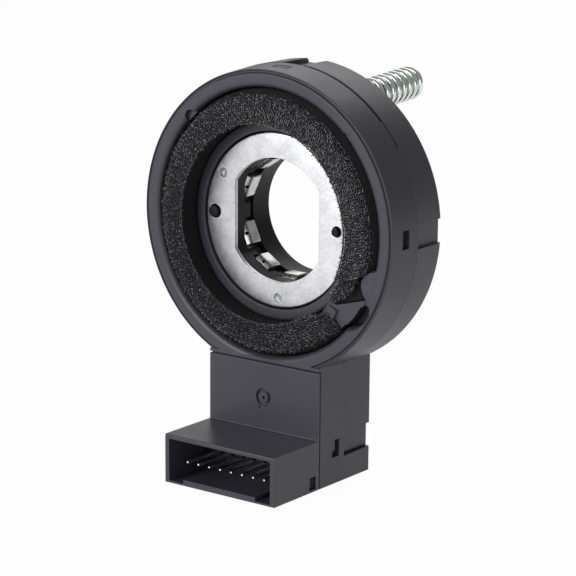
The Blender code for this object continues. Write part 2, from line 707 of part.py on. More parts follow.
def rotor_hub(look, parent):
    profile = [
        (hub_bore_radius, hub_front), (collar_bore - fit_gap, hub_front), (collar_bore - fit_gap, thrust_front),
        (thrust_radius, thrust_front), (thrust_radius, thrust_back), (shoulder_radius, thrust_back),
        (shoulder_radius, thrust_back + shoulder_height), (hub_sleeve_radius, thrust_back + shoulder_height),
        (hub_sleeve_radius, window_back), (hub_collar_radius, window_back + hub_collar_rise),
        (hub_collar_radius, hub_back - hub_chamfer), (hub_collar_radius - hub_chamfer, hub_back),
        (hub_bore_radius, hub_back), (hub_bore_radius, window_back), (hub_groove_radius, window_back),
        (hub_groove_radius, pillar_back), (hub_bore_radius, pillar_back)]
    hub = build_object("rotor_hub", revolve(profile, hub_steps), look, parent)
    # Flats of the double-D, and the pins that carry the drive plate
    adds = []
    chord = (math.sqrt(hub_bore_radius ** 2 - hub_half_flat ** 2) + sink / 2) / 2
    reach = hub_bore_radius + sink
    for side_sign in (-1, 1):
        ends = sorted((side_sign * hub_half_flat, side_sign * reach))
        adds.append(block(ends[0], ends[1], hub_front + sink / 4, pillar_back - sink, -chord, chord))
    combine(hub, "hub_flats", together(*adds), "UNION", parent)
    pins = []
    for inset, angle, size in locating_pins:
        x, z = polar(plate_radius - inset, angle)
        pins.append(prism(circle(x, z, size, 16), "y", -locating_pin_stand, hub_front + sink))
    combine(hub, "hub_pins", together(*pins), "UNION", parent)
    cuts = []
    for angle, width in leaf_places():
        half = width / 2 + leaf_flare + fit_gap
        inside, outside = hub_half_flat - beyond, hub_sleeve_radius + sink
        window = [(inside, window_front), (outside, window_front),
                  (outside, window_back), (inside, window_back)]
        cuts.append(radial(window, half, angle))
    combine(hub, "hub_windows", together(*cuts), "DIFFERENCE", parent)


def clamping_spring(look, parent):
    inner = []
    places = sorted(leaf_places())
    for i, (angle, width) in enumerate(places):
        a = math.radians(angle)
        c, s = math.cos(a), math.sin(a)
        half = width / 2
        mouth_half = half + leaf_flare
        shoulder = math.sqrt(band_radius ** 2 - mouth_half ** 2)
        dip = [(shoulder, -mouth_half), (leaf_crest + leaf_bend, -half), (leaf_crest, leaf_bend - half),
               (leaf_crest, half - leaf_bend), (leaf_crest + leaf_bend, half), (shoulder, mouth_half)]
        inner += [(d * c - t * s, d * s + t * c) for d, t in dip]
        following = places[(i + 1) % len(places)]
        start = angle + math.degrees(math.asin(mouth_half / band_radius))
        end = following[0] - math.degrees(math.asin((following[1] / 2 + leaf_flare) / band_radius))
        if end < start:
            end += 360
        steps = max(2, round((end - start) / 5))
        inner += [polar(band_radius, start + (end - start) * k / steps) for k in range(1, steps)]
    outer = offset_outline(inner, strip)
    count = len(inner)
    verts = []
    for outline in (inner, outer):
        for y in (leaf_front, leaf_back):
            verts += [(x, y, z) for x, z in outline]
    faces = []
    for j in range(count):
        k = (j + 1) % count
        faces += [(j, k, count + k, count + j), (2 * count + j, 3 * count + j, 3 * count + k, 2 * count + k),
                  (j, 2 * count + j, 2 * count + k, k), (count + j, count + k, 3 * count + k, 3 * count + j)]
    build_object("clamping_spring", (verts, faces), look, parent)


def code_ring(look, parent):
    bore = shoulder_radius + fit_gap
    skirt_in = code_radius - code_skirt
    root = code_front + code_thickness + code_root
    profile = [(bore, code_front), (code_radius, code_front), (code_radius, root), (skirt_in, root),
               (skirt_in, code_front + code_thickness), (bore, code_front + code_thickness),
               (code_radius, code_back), (skirt_in, code_back)]
    columns = 2 * code_teeth
    count = len(profile)
    verts, faces = [], []
    for i in range(columns):
        angle = 2 * math.pi * i / columns
        verts += [(r * math.cos(angle), y, r * math.sin(angle)) for r, y in profile]
    for i in range(columns):
        a, b = i * count, ((i + 1) % columns) * count
        for j, k in ((0, 1), (1, 2), (3, 4), (4, 5), (5, 0)):
            faces.append((a + j, a + k, b + k, b + j))
        if i % 2:
            faces.append((a + 2, a + 3, b + 3, b + 2))
        else:
            for j, k in ((2, 6), (6, 7), (7, 3)):
                faces.append((a + j, a + k, b + k, b + j))
            faces += [(a + 2, a + 3, a + 7, a + 6), (b + 2, b + 6, b + 7, b + 3)]
    build_object("code_ring", (verts, faces), look, parent)


def bearing_ring(look, parent):
    front, outside = bearing_back - bearing_length, bearing_bore + bearing_thickness
    profile = [(bearing_bore, front), (outside, front), (outside, bearing_back), (bearing_bore, bearing_back)]
    build_object("bearing_ring", revolve(profile, hub_steps), look, parent)


def circuit_board(look, parent):
    start = -90 + math.degrees(math.asin(board_half_width / board_radius))
    board_low = base + base_wall + board_base_gap
    outline = [(-board_half_width, board_low), (board_half_width, board_low)]
    outline += [polar(board_radius, start + (180 - 2 * start) * i / 40) for i in range(41)]
    holes = [circle(0, 0, sleeve_bore + sleeve_wall + fit_gap, 40)]
    half = pin_side / 2 + fit_gap
    for i in range(pin_count):
        x = (i - (pin_count - 1) / 2) * pin_pitch
        holes.append([(x - half, pin_level - half), (x + half, pin_level - half),
                      (x + half, pin_level + half), (x - half, pin_level + half)])
    build_object("circuit_board", holed_plate(outline, holes, board_front, board_back), look, parent)


def light_barriers(look, parent):
    back = board_front - fit_gap
    slot_in = code_radius - code_skirt - barrier_slot_side
    slot_out = code_radius + barrier_slot_side
    fork = [(slot_in - barrier_wall, back), (slot_in - barrier_wall, barrier_front), (slot_in, barrier_front),
            (slot_in, back - barrier_bridge), (slot_out, back - barrier_bridge), (slot_out, barrier_front),
            (slot_out + barrier_wall, barrier_front), (slot_out + barrier_wall, back)]
    for i, angle in enumerate(barrier_angles):
        build_object("light_barrier_%d" % (i + 1), radial(fork, barrier_half_width, angle), look, parent)


def leaded_chip(name, x, z, half, leads, look, parent):
    """A flat chip with a row of leads down each side, as one outline."""
    back = board_front - fit_gap
    pitch = 2 * half / (leads + 1)
    lead = pitch * 0.4
    outline = []
    for side_sign in (1, -1):
        outline.append((side_sign * half, -side_sign * half))
        for i in range(leads):
            centre = side_sign * (-half + pitch * (i + 1))
            edge = lead / 2 * side_sign
            tip = side_sign * (half + chip_lead_length)
            outline += [(side_sign * half, centre - edge), (tip, centre - edge)]
            outline += [(tip, centre + edge), (side_sign * half, centre + edge)]
        outline.append((side_sign * half, side_sign * half))
    outline = [(x + a, z + b) for a, b in outline]
    build_object(name, prism(outline, "y", back - chip_thickness, back), look, parent)


def small_part(name, x, z, width, height, thickness, look, parent):
    back = board_front - fit_gap
    right, top = width / 2, height / 2
    corners = ((-right, -top), (right, -top), (right, top), (-right, top))
    plan = rounded([(x + a, z + b, part_edge_radius) for a, b in corners])
    build_object(name, prism(plan, "y", back - thickness, back), look, parent)


def anti_rotation_spring(look, parent):
    mean = coil_radius - coil_wire / 2
    tilt = math.radians(coil_tilt)
    per_turn, sides = 16, 6
    total = round((coil_turns + 2 * coil_closed_turns) * per_turn)
    along = fit_gap + coil_wire / 2
    verts, faces = [], []
    for i in range(total + 1):
        angle = 2 * math.pi * i / per_turn
        closed = min(i, total - i) < coil_closed_turns * per_turn
        along += (coil_wire + coil_closed_gap if closed else coil_pitch) / per_turn if i else 0
        for j in range(sides):
            around = 2 * math.pi * j / sides
            radius = mean + coil_wire / 2 * math.cos(around)
            y = along + coil_wire / 2 * math.sin(around)
            x, z = radius * math.cos(angle), radius * math.sin(angle)
            verts.append((coil_x + x, ring_back + y * math.cos(tilt) - z * math.sin(tilt),
                          coil_z + y * math.sin(tilt) + z * math.cos(tilt)))
    for i in range(total):
        for j in range(sides):
            k = (j + 1) % sides
            faces.append((i * sides + j, i * sides + k, (i + 1) * sides + k, (i + 1) * sides + j))
    faces += [tuple(range(sides)), tuple(total * sides + j for j in range(sides))]
    build_object("anti_rotation_spring", (verts, faces), look, parent)


def main():
    clear_scene()
    moulded = material("black housing plastic", (0.028, 0.028, 0.031), 0.42)
    hub_plastic = material("black hub plastic", (0.020, 0.020, 0.022), 0.35)
    foam = material("black foam", (0.012, 0.012, 0.013), 0.95)
    zinc = material("zinc plated steel", (0.72, 0.73, 0.76), 0.32, 1.0)
    spring_steel = material("spring steel", (0.62, 0.62, 0.60), 0.28, 1.0)
    passivated = material("passivated spring wire", (0.60, 0.66, 0.62), 0.22, 1.0)
    tin = material("tinned contact", (0.80, 0.80, 0.78), 0.25, 1.0)
    laminate = material("green board laminate", (0.03, 0.14, 0.07), 0.45)
    component = material("component body", (0.03, 0.03, 0.032), 0.5)
    bearing = material("natural acetal", (0.75, 0.74, 0.70), 0.4)

    holder = bpy.data.objects.new("sensor_frame", None)
    rotor = bpy.data.objects.new("rotor_axis", None)
    for empty in (holder, rotor):
        empty.location = (0, 0, bore_height)
        bpy.context.scene.collection.objects.link(empty)

    front_housing(moulded, holder)
    rear_housing(moulded, holder)
    connector_body(moulded, holder)
    contact_pins(tin, holder)
    foam_seal(foam, holder)
    bearing_ring(bearing, holder)
    circuit_board(laminate, holder)
    light_barriers(component, holder)
    leaded_chip("controller_chip", 0, chip_level, chip_half, chip_lead_count, component, holder)
    for name, x, level, width, height, thickness in small_parts:
        small_part(name, x, base + level, width, height, thickness, component, holder)
    anti_rotation_spring(passivated, holder)
    drive_plate(zinc, rotor)
    rotor_hub(hub_plastic, rotor)
    clamping_spring(spring_steel, rotor)
    code_ring(hub_plastic, rotor)


main()
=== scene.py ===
# Steering angle sensor, dressed for its picture.
# Sizes are in millimetres about the bore axis: x to the right, y back through the bore, z up.
import math
import random

import bmesh
import bpy
from mathutils import Matrix, Vector, geometry, noise


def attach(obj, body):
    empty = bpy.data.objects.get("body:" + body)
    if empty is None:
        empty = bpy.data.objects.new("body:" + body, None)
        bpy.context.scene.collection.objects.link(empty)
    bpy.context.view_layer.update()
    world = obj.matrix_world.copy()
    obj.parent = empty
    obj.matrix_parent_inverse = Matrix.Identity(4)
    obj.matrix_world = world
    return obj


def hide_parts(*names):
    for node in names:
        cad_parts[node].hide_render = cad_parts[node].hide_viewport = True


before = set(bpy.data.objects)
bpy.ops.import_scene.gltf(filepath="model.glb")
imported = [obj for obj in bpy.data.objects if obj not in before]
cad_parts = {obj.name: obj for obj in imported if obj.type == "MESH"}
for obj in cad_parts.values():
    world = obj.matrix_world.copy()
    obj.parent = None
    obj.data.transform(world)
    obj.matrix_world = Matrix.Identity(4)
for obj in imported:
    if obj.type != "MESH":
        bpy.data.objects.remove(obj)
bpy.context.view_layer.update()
boreHeight = 48.3
base = -boreHeight
print("frame loaded")


# Outlines and plain shapes; a shape is a pair of corner list and face list

def roundOff(points, steps=5):
    # a third number on a point is the radius of its corner
    out = []
    for i, point in enumerate(points):
        here = Vector(point[:2])
        if len(point) == 2:
            out.append(tuple(here))
            continue
        a = Vector(points[i - 1][:2]) - here
        b = Vector(points[(i + 1) % len(points)][:2]) - here
        half = a.angle(b) / 2
        reach = min(point[2] / math.tan(half), 0.49 * a.length, 0.49 * b.length)
        radius = reach * math.tan(half)
        a.normalize()
        b.normalize()
        centre = here + (a + b).normalized() * radius / math.sin(half)
        first = here + a * reach - centre
        last = here + b * reach - centre
        start = math.atan2(first.y, first.x)
        sweep = (math.atan2(last.y, last.x) - start + math.pi) % (2 * math.pi) - math.pi
        for k in range(steps + 1):
            t = start + sweep * k / steps
            out.append((centre.x + radius * math.cos(t), centre.y + radius * math.sin(t)))
    return out


def polar(radius, degrees):
    t = math.radians(degrees)
    return radius * math.cos(t), radius * math.sin(t)


def circle(x, z, radius, steps):
    turns = [2 * math.pi * i / steps for i in range(steps)]
    return [(x + radius * math.cos(t), z + radius * math.sin(t)) for t in turns]


def between(a, b, n):
    # the faces between two rings of n corners that start at corners a and b
    return [(a + j, a + (j + 1) % n, b + (j + 1) % n, b + j) for j in range(n)]


def turn(profile, steps, start=0.0, end=360.0):
    # a closed (radius, y) outline, turned about the bore axis
    whole = end - start >= 360
    columns = steps if whole else steps + 1
    n = len(profile)
    verts = []
    for i in range(columns):
        t = math.radians(start + (end - start) * i / steps)
        verts += [(r * math.cos(t), y, r * math.sin(t)) for r, y in profile]
    faces = []
    for i in range(steps):
        faces += between(i * n, ((i + 1) % columns) * n, n)
    if not whole:
        faces += [tuple(range(n)), tuple((columns - 1) * n + j for j in range(n))]
    return verts, faces


def loft(rings):
    # closed rings of equal length, joined in order and capped
    n = len(rings[0])
    verts = [corner for ring in rings for corner in ring]
    faces = [tuple(range(n)), tuple((len(rings) - 1) * n + j for j in range(n))]
    for k in range(len(rings) - 1):
        faces += between(k * n, (k + 1) * n, n)
    return verts, faces


def extrude(outline, axis, low, high):
    # an outline drawn along one axis; the other two axes take its two numbers
    order = {"x": (2, 0, 1), "y": (0, 2, 1), "z": (0, 1, 2)}[axis]
    return loft([[tuple((a, b, level)[k] for k in order) for a, b in outline] for level in (low, high)])


def oblong(a0, a1, b0, b1):
    return [(a0, b0), (a1, b0), (a1, b1), (a0, b1)]


def block(x0, x1, y0, y1, z0, z1):
    return extrude(oblong(x0, x1, z0, z1), "y", y0, y1)


def bothSides(x0, x1, y0, y1, z0, z1):
    return merge(block(x0, x1, y0, y1, z0, z1), block(-x1, -x0, y0, y1, z0, z1))


def radial(outline, half, degrees):
    # a (radius, y) outline, half thick to each side, turned to its angle
    t = math.radians(degrees)
    c, s = math.cos(t), math.sin(t)
    return loft([[(r * c - side * s, y, r * s + side * c) for r, y in outline] for side in (-half, half)])


def shifted(shape, x, y, z):
    return [(a + x, b + y, c + z) for a, b, c in shape[0]], shape[1]


def merge(*shapes):
    verts, faces = [], []
    for corners, sides in shapes:
        first = len(verts)
        verts += corners
        faces += [tuple(first + k for k in face) for face in sides]
    return verts, faces


def addObject(name, data):
    made = bpy.data.objects.new(name, data)
    bpy.context.scene.collection.objects.link(made)
    return made


def makeObject(name, shape):
    mesh = bpy.data.meshes.new(name)
    mesh.from_pydata([(x * 0.001, y * 0.001, (z + boreHeight) * 0.001) for x, y, z in shape[0]], [], shape[1])
    work = bmesh.new()
    work.from_mesh(mesh)
    bmesh.ops.recalc_face_normals(work, faces=work.faces)
    work.to_mesh(mesh)
    work.free()
    return addObject(name, mesh)


def carve(piece, steps):
    # adds and cuts shapes in order, and keeps the plain mesh that results
    helpers = []
    for kind, shape in steps:
        helper = makeObject("helper", shape)
        cut = piece.modifiers.new("cut", "BOOLEAN")
        cut.operation = kind
        cut.object = helper
        cut.solver = "EXACT"
        helpers.append(helper)
    mesh = bpy.data.meshes.new_from_object(piece.evaluated_get(bpy.context.evaluated_depsgraph_get()))
    piece.modifiers.clear()
    mesh.validate()
    piece.data = mesh
    for helper in helpers:
        bpy.data.objects.remove(helper)


def finishPiece(piece, body, nodes, look, sharpFrom=32, even=False):
    # edges that bend by more than sharpFrom degrees stay sharp
    piece.data.shade_smooth()
    piece.data.set_sharp_from_angle(angle=math.radians(sharpFrom))
    if even:   # keeps the large flats flat beside their rounded edges
        evened = piece.modifiers.new("even", "WEIGHTED_NORMAL")
        evened.keep_sharp = True
    piece.data.materials.clear()
    piece.data.materials.append(look)
    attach(piece, body)
    if nodes:
        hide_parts(*nodes)


# Finishes

def setInputs(node, **values):
    for name, value in values.items():
        node.inputs[name.replace("_", " ")].default_value = value


def newLook(name, colour, rough, metal=0.0, specular=0.5):
    look = bpy.data.materials.new(name)
    look.use_nodes = True
    shader = look.node_tree.nodes["Principled BSDF"]
    setInputs(shader, Base_Color=(*colour, 1), Roughness=rough, Metallic=metal, Specular_IOR_Level=specular)
    return look, look.node_tree, shader


def noiseNode(tree, scale, detail=2.0, rough=0.5):
    place = tree.nodes.new("ShaderNodeTexCoord")
    cloud = tree.nodes.new("ShaderNodeTexNoise")
    setInputs(cloud, Scale=scale, Detail=detail, Roughness=rough)
    tree.links.new(place.outputs["Object"], cloud.inputs["Vector"])
    return cloud.outputs["Fac"]


def ramp(tree, source, stops):
    node = tree.nodes.new("ShaderNodeValToRGB")
    for k, (place, colour) in enumerate(stops):
        stop = node.color_ramp.elements[k] if k < 2 else node.color_ramp.elements.new(place)
        stop.position = place
        stop.color = (*colour, 1)
    tree.links.new(source, node.inputs["Fac"])
    return node.outputs["Color"]


def spread(tree, source, low, high):
    # most of a noise lies between 0.3 and 0.7, which is drawn out to low and high
    node = tree.nodes.new("ShaderNodeMapRange")
    setInputs(node, From_Min=0.3, From_Max=0.7, To_Min=low, To_Max=high)
    tree.links.new(source, node.inputs["Value"])
    return node.outputs["Result"]


def grain(tree, shader, layers, edge=0.0):
    # bump layers of (height source, depth in mm), on edges rounded by edge mm
    normal = None
    if edge:
        soft = tree.nodes.new("ShaderNodeBevel")
        soft.samples = 6
        soft.inputs["Radius"].default_value = edge * 0.001
        normal = soft.outputs["Normal"]
    for source, depth in layers:
        bump = tree.nodes.new("ShaderNodeBump")
        bump.inputs["Distance"].default_value = depth * 0.001
        tree.links.new(source, bump.inputs["Height"])
        if normal:
            tree.links.new(normal, bump.inputs["Normal"])
        normal = bump.outputs["Normal"]
    tree.links.new(normal, shader.inputs["Normal"])


def plasticLook(name, dark, light, rough, sparkle=0.012, edge=0.12, specular=0.5):
    # moulded plastic: two near shades, uneven gloss and a fine sparkle in its skin
    look, tree, shader = newLook(name, dark, rough[0], 0.0, specular)
    shade = ramp(tree, noiseNode(tree, 60, 3), [(0.3, dark), (0.7, light)])
    tree.links.new(shade, shader.inputs["Base Color"])
    tree.links.new(spread(tree, noiseNode(tree, 130, 4), *rough), shader.inputs["Roughness"])
    layers = [(noiseNode(tree, 9000, 2), sparkle), (noiseNode(tree, 2400, 2), sparkle * 0.7)]
    grain(tree, shader, layers, edge)
    return look


def metalLook(name, dark, light, rough, cloudScale, scratch, edge=0.05):
    # bright metal: clouds of two shades, with a slight grain
    look, tree, shader = newLook(name, light, rough[0], 1.0)
    shade = ramp(tree, noiseNode(tree, cloudScale, 5, 0.6), [(0.35, dark), (0.65, light)])
    tree.links.new(shade, shader.inputs["Base Color"])
    tree.links.new(spread(tree, noiseNode(tree, cloudScale * 2.2, 4), *rough), shader.inputs["Roughness"])
    grain(tree, shader, [(noiseNode(tree, 2200, 3), scratch)], edge)
    return look


housingLook = plasticLook("housingPlastic", dark=(0.036, 0.034, 0.046), light=(0.042, 0.040, 0.053),
                          rough=(0.38, 0.46), sparkle=0.006)
connectorLook = plasticLook("connectorPlastic", dark=(0.034, 0.032, 0.046), light=(0.040, 0.038, 0.052),
                            rough=(0.30, 0.37), sparkle=0.005)
hubLook = plasticLook("hubPlastic", dark=(0.006, 0.006, 0.007), light=(0.009, 0.009, 0.010),
                      rough=(0.40, 0.50), sparkle=0.003, edge=0.1, specular=0.18)
leafLook = metalLook("springSteel", dark=(0.46, 0.46, 0.46), light=(0.70, 0.70, 0.69),
                     rough=(0.24, 0.36), cloudScale=420, scratch=0.006)
coilLook = metalLook("passivatedWire", dark=(0.60, 0.68, 0.64), light=(0.86, 0.90, 0.87),
                     rough=(0.16, 0.26), cloudScale=500, scratch=0.006, edge=0.0)
tinLook = metalLook("tinnedContact", dark=(0.80, 0.80, 0.76), light=(0.92, 0.92, 0.90),
                    rough=(0.16, 0.26), cloudScale=700, scratch=0.003)

zinc = dict(
    colour=(0.72, 0.72, 0.75), rough=(0.34, 0.40), cloudScale=210, frostScale=1500, roughScale=420,
    shades=((0.38, (0.59, 0.60, 0.64)), (0.50, (0.73, 0.73, 0.76)), (0.62, (0.84, 0.84, 0.85))),
    # painted shade across the plate: its colour falls to 0.8 towards -x
    paintedShadeSide=dict(From_Min=-0.014, From_Max=0.010, To_Min=0.80, To_Max=1.0),
    grains=((3000, 0.003), (500, 0.006)), edge=0.05,
)


def zincLook():
    # cloudy plating with a fine frosted grain, and painted shade darkening one side
    f = zinc
    look, tree, shader = newLook("zincPlate", f["colour"], f["rough"][0], 1.0)
    join = tree.links.new
    cloud = noiseNode(tree, f["cloudScale"], 5, 0.6)
    frost = noiseNode(tree, f["frostScale"], 3, 0.7)
    both = tree.nodes.new("ShaderNodeMath")
    both.operation = "ADD"
    half = tree.nodes.new("ShaderNodeMath")
    half.operation = "MULTIPLY"
    half.inputs[1].default_value = 0.5
    join(cloud, both.inputs[0])
    join(frost, both.inputs[1])
    join(both.outputs[0], half.inputs[0])
    paintedShade = tree.nodes.new("ShaderNodeMix")
    paintedShade.data_type = "RGBA"
    paintedShade.blend_type = "MULTIPLY"
    paintedShade.inputs[0].default_value = 1.0
    place = tree.nodes.new("ShaderNodeSeparateXYZ")
    join(tree.nodes.new("ShaderNodeTexCoord").outputs["Object"], place.inputs["Vector"])
    across = tree.nodes.new("ShaderNodeMapRange")   # painted shade: the colour darkens towards the plate's left side
    setInputs(across, **f["paintedShadeSide"])
    join(place.outputs["X"], across.inputs["Value"])
    join(ramp(tree, half.outputs[0], f["shades"]), paintedShade.inputs[6])
    join(across.outputs["Result"], paintedShade.inputs[7])
    join(paintedShade.outputs[2], shader.inputs["Base Color"])
    join(spread(tree, noiseNode(tree, f["roughScale"], 4), *f["rough"]), shader.inputs["Roughness"])
    grain(tree, shader, [(noiseNode(tree, scale, 3), depth) for scale, depth in f["grains"]], f["edge"])
    return look


plateLook = zincLook()
print("finishes made")


# Front shell of the ring, with the front half of the box

front = dict(
    # the ring's section, from the collar's inside round to the wall's inside
    collarIn=16.6, collar=18.7, lip=-0.4, floor=0.9, floorBack=2.1, seat=24.9, face=-3.65, rim=28.1,
    side=28.7, closedSeam=3.87, inner=27.24, tongue=4.4, tongueIn=27.0, wallIn=25.7, wall=1.5, steps=216,
    lipRound=0.15, collarRound=0.9, seatRound=1.1, seamRound=0.04,
    # the groove round the face, from the rim and the face, with each corner's radius
    groove=((-0.7, 0, 0.2), (-0.46, 0.48), (-0.24, 0.48), (-0.06, 0.12, 0.06), (0.1, 0.3, 0.1)),
    # cuts that open the joint: steps, inner radius, low and high edge, first and last angle
    seamCuts=((180, 27.12, 3.2, 3.95, 44.1, 293.7), (12, 27.15, 3.55, 3.96, 33.3, 44.4)), past=30,
    boxHalf=12.6, boxWall=1.5, boxBack=4.82, boxStep=-26.77, neck=-25.3, neckBack=3.84, lipLow=-25.9,
    panelBack=-2.95, panelRoom=(-20, 20, -17), boxRoom=(-17, 7), boxFloor=1.2, boxRoof=-26.5,
    latchAngles=(0.2, 88.4, 180.0), window=(26.5, 31, -0.6, 1.3), windowHalf=1.7,
    pockets=(43.8, 134.0), pocketRadius=1.3, pocketDepth=1.0, pocketFront=-6,
    # the window in each side of the box, with a foot at its lower front; heights are above the base
    sideWindow=((0.8, 5.1), (3.0, 5.1), (3.0, 8.4), (1.6, 8.4), (1.6, 6.45), (0.8, 6.45)),
    sideWindowIn=10.7, sideWindowOut=14, recessCut=(11.17, 14, 4.55, 5.2), recessLow=4.6, recessHigh=9.35,
)

# What closes the gap in the foam; corners are (radius, angle), levels are (y, share of the outline)
gap = dict(
    lug=((18.8, -43.5), (20.3, -40.2), (21.4, -36.2), (24.6, -27.5), (25.3, -29), (25.3, -40), (24.0, -43),
         (23.9, -48.5), (21.4, -50.5), (19.4, -51.5)),
    lugFront=-2.3, lugBack=1.3,
    pad=((19.3, -43.5), (21.25, -41.5), (22.4, -49.5), (20.0, -51)),
    padLevels=((-2.85, 0.8), (-2.7, 0.94), (-2.5, 1.0), (-2.0, 1.02)),
    web=((26.1, -11.4), (24.2, -13.5), (23.2, -16), (22.85, -19), (23.2, -22), (24.2, -25), (26.1, -27.2)),
    webLevels=((0, 0.86), (0.12, 0.93), (0.4, 0.98), (0.9, 1.0)), webBack=(1.2, 1.0),
    hollow=((24.0, -30), (25.4, -26.6), (26.6, -27), (27.3, -30), (27.3, -34), (26.7, -38.5), (25.8, -42.5),
            (24.6, -46), (23.9, -45), (24.0, -38)),
    hollowLevels=((-0.3, 1.05), (0.05, 0.97), (0.25, 0.88), (0.6, 0.79), (1.2, 0.72)), hollowBack=(0.5, 0.66),
)


def shellRing():
    f = front
    face, inside = f["face"], f["face"] + f["wall"]
    return turn(roundOff([
        (f["collarIn"], f["floorBack"]), (f["collarIn"], f["lip"], f["lipRound"]),
        (f["collar"], f["lip"], f["collarRound"]), (f["collar"], f["floor"]), (f["seat"], f["floor"]),
        (f["seat"], face, f["seatRound"]), *[(f["rim"] + r, face + y, *bend) for r, y, *bend in f["groove"]],
        (f["side"], f["closedSeam"], f["seamRound"]), (f["inner"], f["closedSeam"]),
        (f["inner"], f["tongue"]), (f["tongueIn"], f["tongue"]), (f["tongueIn"], inside),
        (f["wallIn"], inside), (f["wallIn"], f["floorBack"])], 6), f["steps"])


def swollen(outline, levels):
    # an outline drawn in towards its middle by a share at each level
    cx = sum(x for x, z in outline) / len(outline)
    cz = sum(z for x, z in outline) / len(outline)
    return loft([[(cx + (x - cx) * share, y, cz + (z - cz) * share) for x, z in outline]
                 for y, share in levels])


def gapForms():
    # the lug with its pad, the soft web, and the hollow in the rim
    lug, pad, web, hollow = [[polar(*corner) for corner in gap[name]]
                             for name in ("lug", "pad", "web", "hollow")]
    webLevels, hollowLevels = [[(front["face"] + y, share) for y, share in gap[name]]
                               for name in ("webLevels", "hollowLevels")]
    return [("UNION", extrude(lug, "y", gap["lugFront"], gap["lugBack"])),
            ("UNION", swollen(pad, gap["padLevels"])),
            ("UNION", swollen(web, webLevels + [gap["webBack"]])),
            ("DIFFERENCE", swollen(hollow, hollowLevels + [gap["hollowBack"]]))]


def makeFrontShell():
    f = front
    shell = makeObject("frontShell", shellRing())
    # from the first quarter down to the box the joint stays a hairline, elsewhere it is open
    steps = []
    for count, inner, low, high, first, last in f["seamCuts"]:
        steps.append(("DIFFERENCE", turn(oblong(inner, f["past"], low, high), count, first, last)))
    # the front half of the box, cleared for the panel and hollowed for the board
    side = [(f["panelBack"], base), (f["boxBack"], base), (f["boxBack"], f["boxStep"]),
            (f["neckBack"], f["boxStep"]), (f["neckBack"], f["neck"]), (f["face"], f["neck"]),
            (f["face"], f["lipLow"]), (f["panelBack"], f["lipLow"])]
    inside = f["boxHalf"] - f["boxWall"]
    steps += [("UNION", extrude(side, "x", -f["boxHalf"], f["boxHalf"])),
              ("DIFFERENCE", block(*f["panelRoom"], f["panelBack"], base - 2, f["lipLow"])),
              ("DIFFERENCE", block(-inside, inside, *f["boxRoom"], base + f["boxFloor"], f["boxRoof"]))]
    steps += gapForms()
    cuts = [radial(oblong(*f["window"]), f["windowHalf"], angle) for angle in f["latchAngles"]]
    for angle in f["pockets"]:
        x, z = polar(f["seat"], angle)
        pocket = circle(x, z, f["pocketRadius"], 36)
        cuts.append(extrude(pocket, "y", f["pocketFront"], f["face"] + f["pocketDepth"]))
    window = [(y, base + z) for y, z in f["sideWindow"]]
    for low, high in ((-f["sideWindowOut"], -f["sideWindowIn"]), (f["sideWindowIn"], f["sideWindowOut"])):
        cuts.append(extrude(window, "x", low, high))
    steps += [("DIFFERENCE", merge(*cuts)),
              ("DIFFERENCE", bothSides(*f["recessCut"], base + f["recessLow"], base + f["recessHigh"]))]
    carve(shell, steps)
    finishPiece(shell, "housing", ["front_housing"], housingLook, even=True)


makeFrontShell()
print("front shell made")


# Rear shell

rear = dict(
    side=28.7, seam=3.9, back=11.6, inner=27.2, roof=10.4, steps=216,
    bore=13.3, boreLip=11.0, bearing=14.6, bearingFront=8.9, boss=15.4,
    seamRound=0.1, backRound=0.8, boreRound=0.25, roofRound=0.5,
    boxHalf=12.6, boxFront=4.85, boxBack=12.8, boxRound=0.3, shoulder=-24.8,
    # a cheek each side fills the corner under the ring, a hair inside the box's own faces
    cheek=(11.13, 12.59, 3.93, 5.2, -26.74, -24.82),
    hollowFront=1.6, hollowBack=11.3, hollowStep=10.2, hollowFloor=1.2, hollowRoof=-26.2, hollowTop=-24.0,
    hollowHalf=11.1,
    # each ring latch: its angle, the depth of its recess, and the radius of its tongue's tip
    latches=((0.2, 0.95, 27.5), (88.4, 0.9, 28.4), (180.0, 0.95, 27.5)),
    recess=(31, 1.5, 14), recessHalf=2.25, armHalf=1.4,
    boxRecess=0.83, boxRecessRoom=(15, 2, 15), recessLow=4.65, recessHigh=9.3,
    slot=(11.25, 15, 5.4, 12.2), slotLow=-0.02, slotHigh=0.16,
    hook=((9.9, 0.5), (10.8, 0.5), (10.8, 1.9), (11.75, 2.1), (11.75, 2.7), (10.8, 2.7), (10.8, 5.15),
          (11.4, 5.35), (11.4, 7.9), (9.9, 8.3)),
    hookLow=5.4, hookHigh=8.1,
    postAngles=(35, 145, 215, 325), postCircle=23.6, postRadius=1.3, postFront=10.1, postBack=10.9,
    stud=((0.001, -0.5), (1.6, -0.5), (1.6, 5.5), (1.1, 6.0), (0.001, 6.0)),
    coilX=9.6, coilZ=22.0, coilTilt=3.7,
)


def rearRing():
    f = rear
    return turn(roundOff([
        (f["side"], f["seam"], f["seamRound"]), (f["side"], f["back"], f["backRound"]),
        (f["bore"], f["back"], f["boreRound"]), (f["bore"], f["boreLip"]), (f["bearing"], f["boreLip"]),
        (f["bearing"], f["bearingFront"]), (f["boss"], f["bearingFront"]), (f["boss"], f["roof"]),
        (f["inner"], f["roof"], f["roofRound"]), (f["inner"], f["seam"])], 6), f["steps"])


def coilFrame(x, y, z):
    # a point beside the coil's own axis, in the part's frame
    tilt = math.radians(rear["coilTilt"])
    return (rear["coilX"] + x, rear["back"] + y * math.cos(tilt) - z * math.sin(tilt),
            rear["coilZ"] + y * math.sin(tilt) + z * math.cos(tilt))


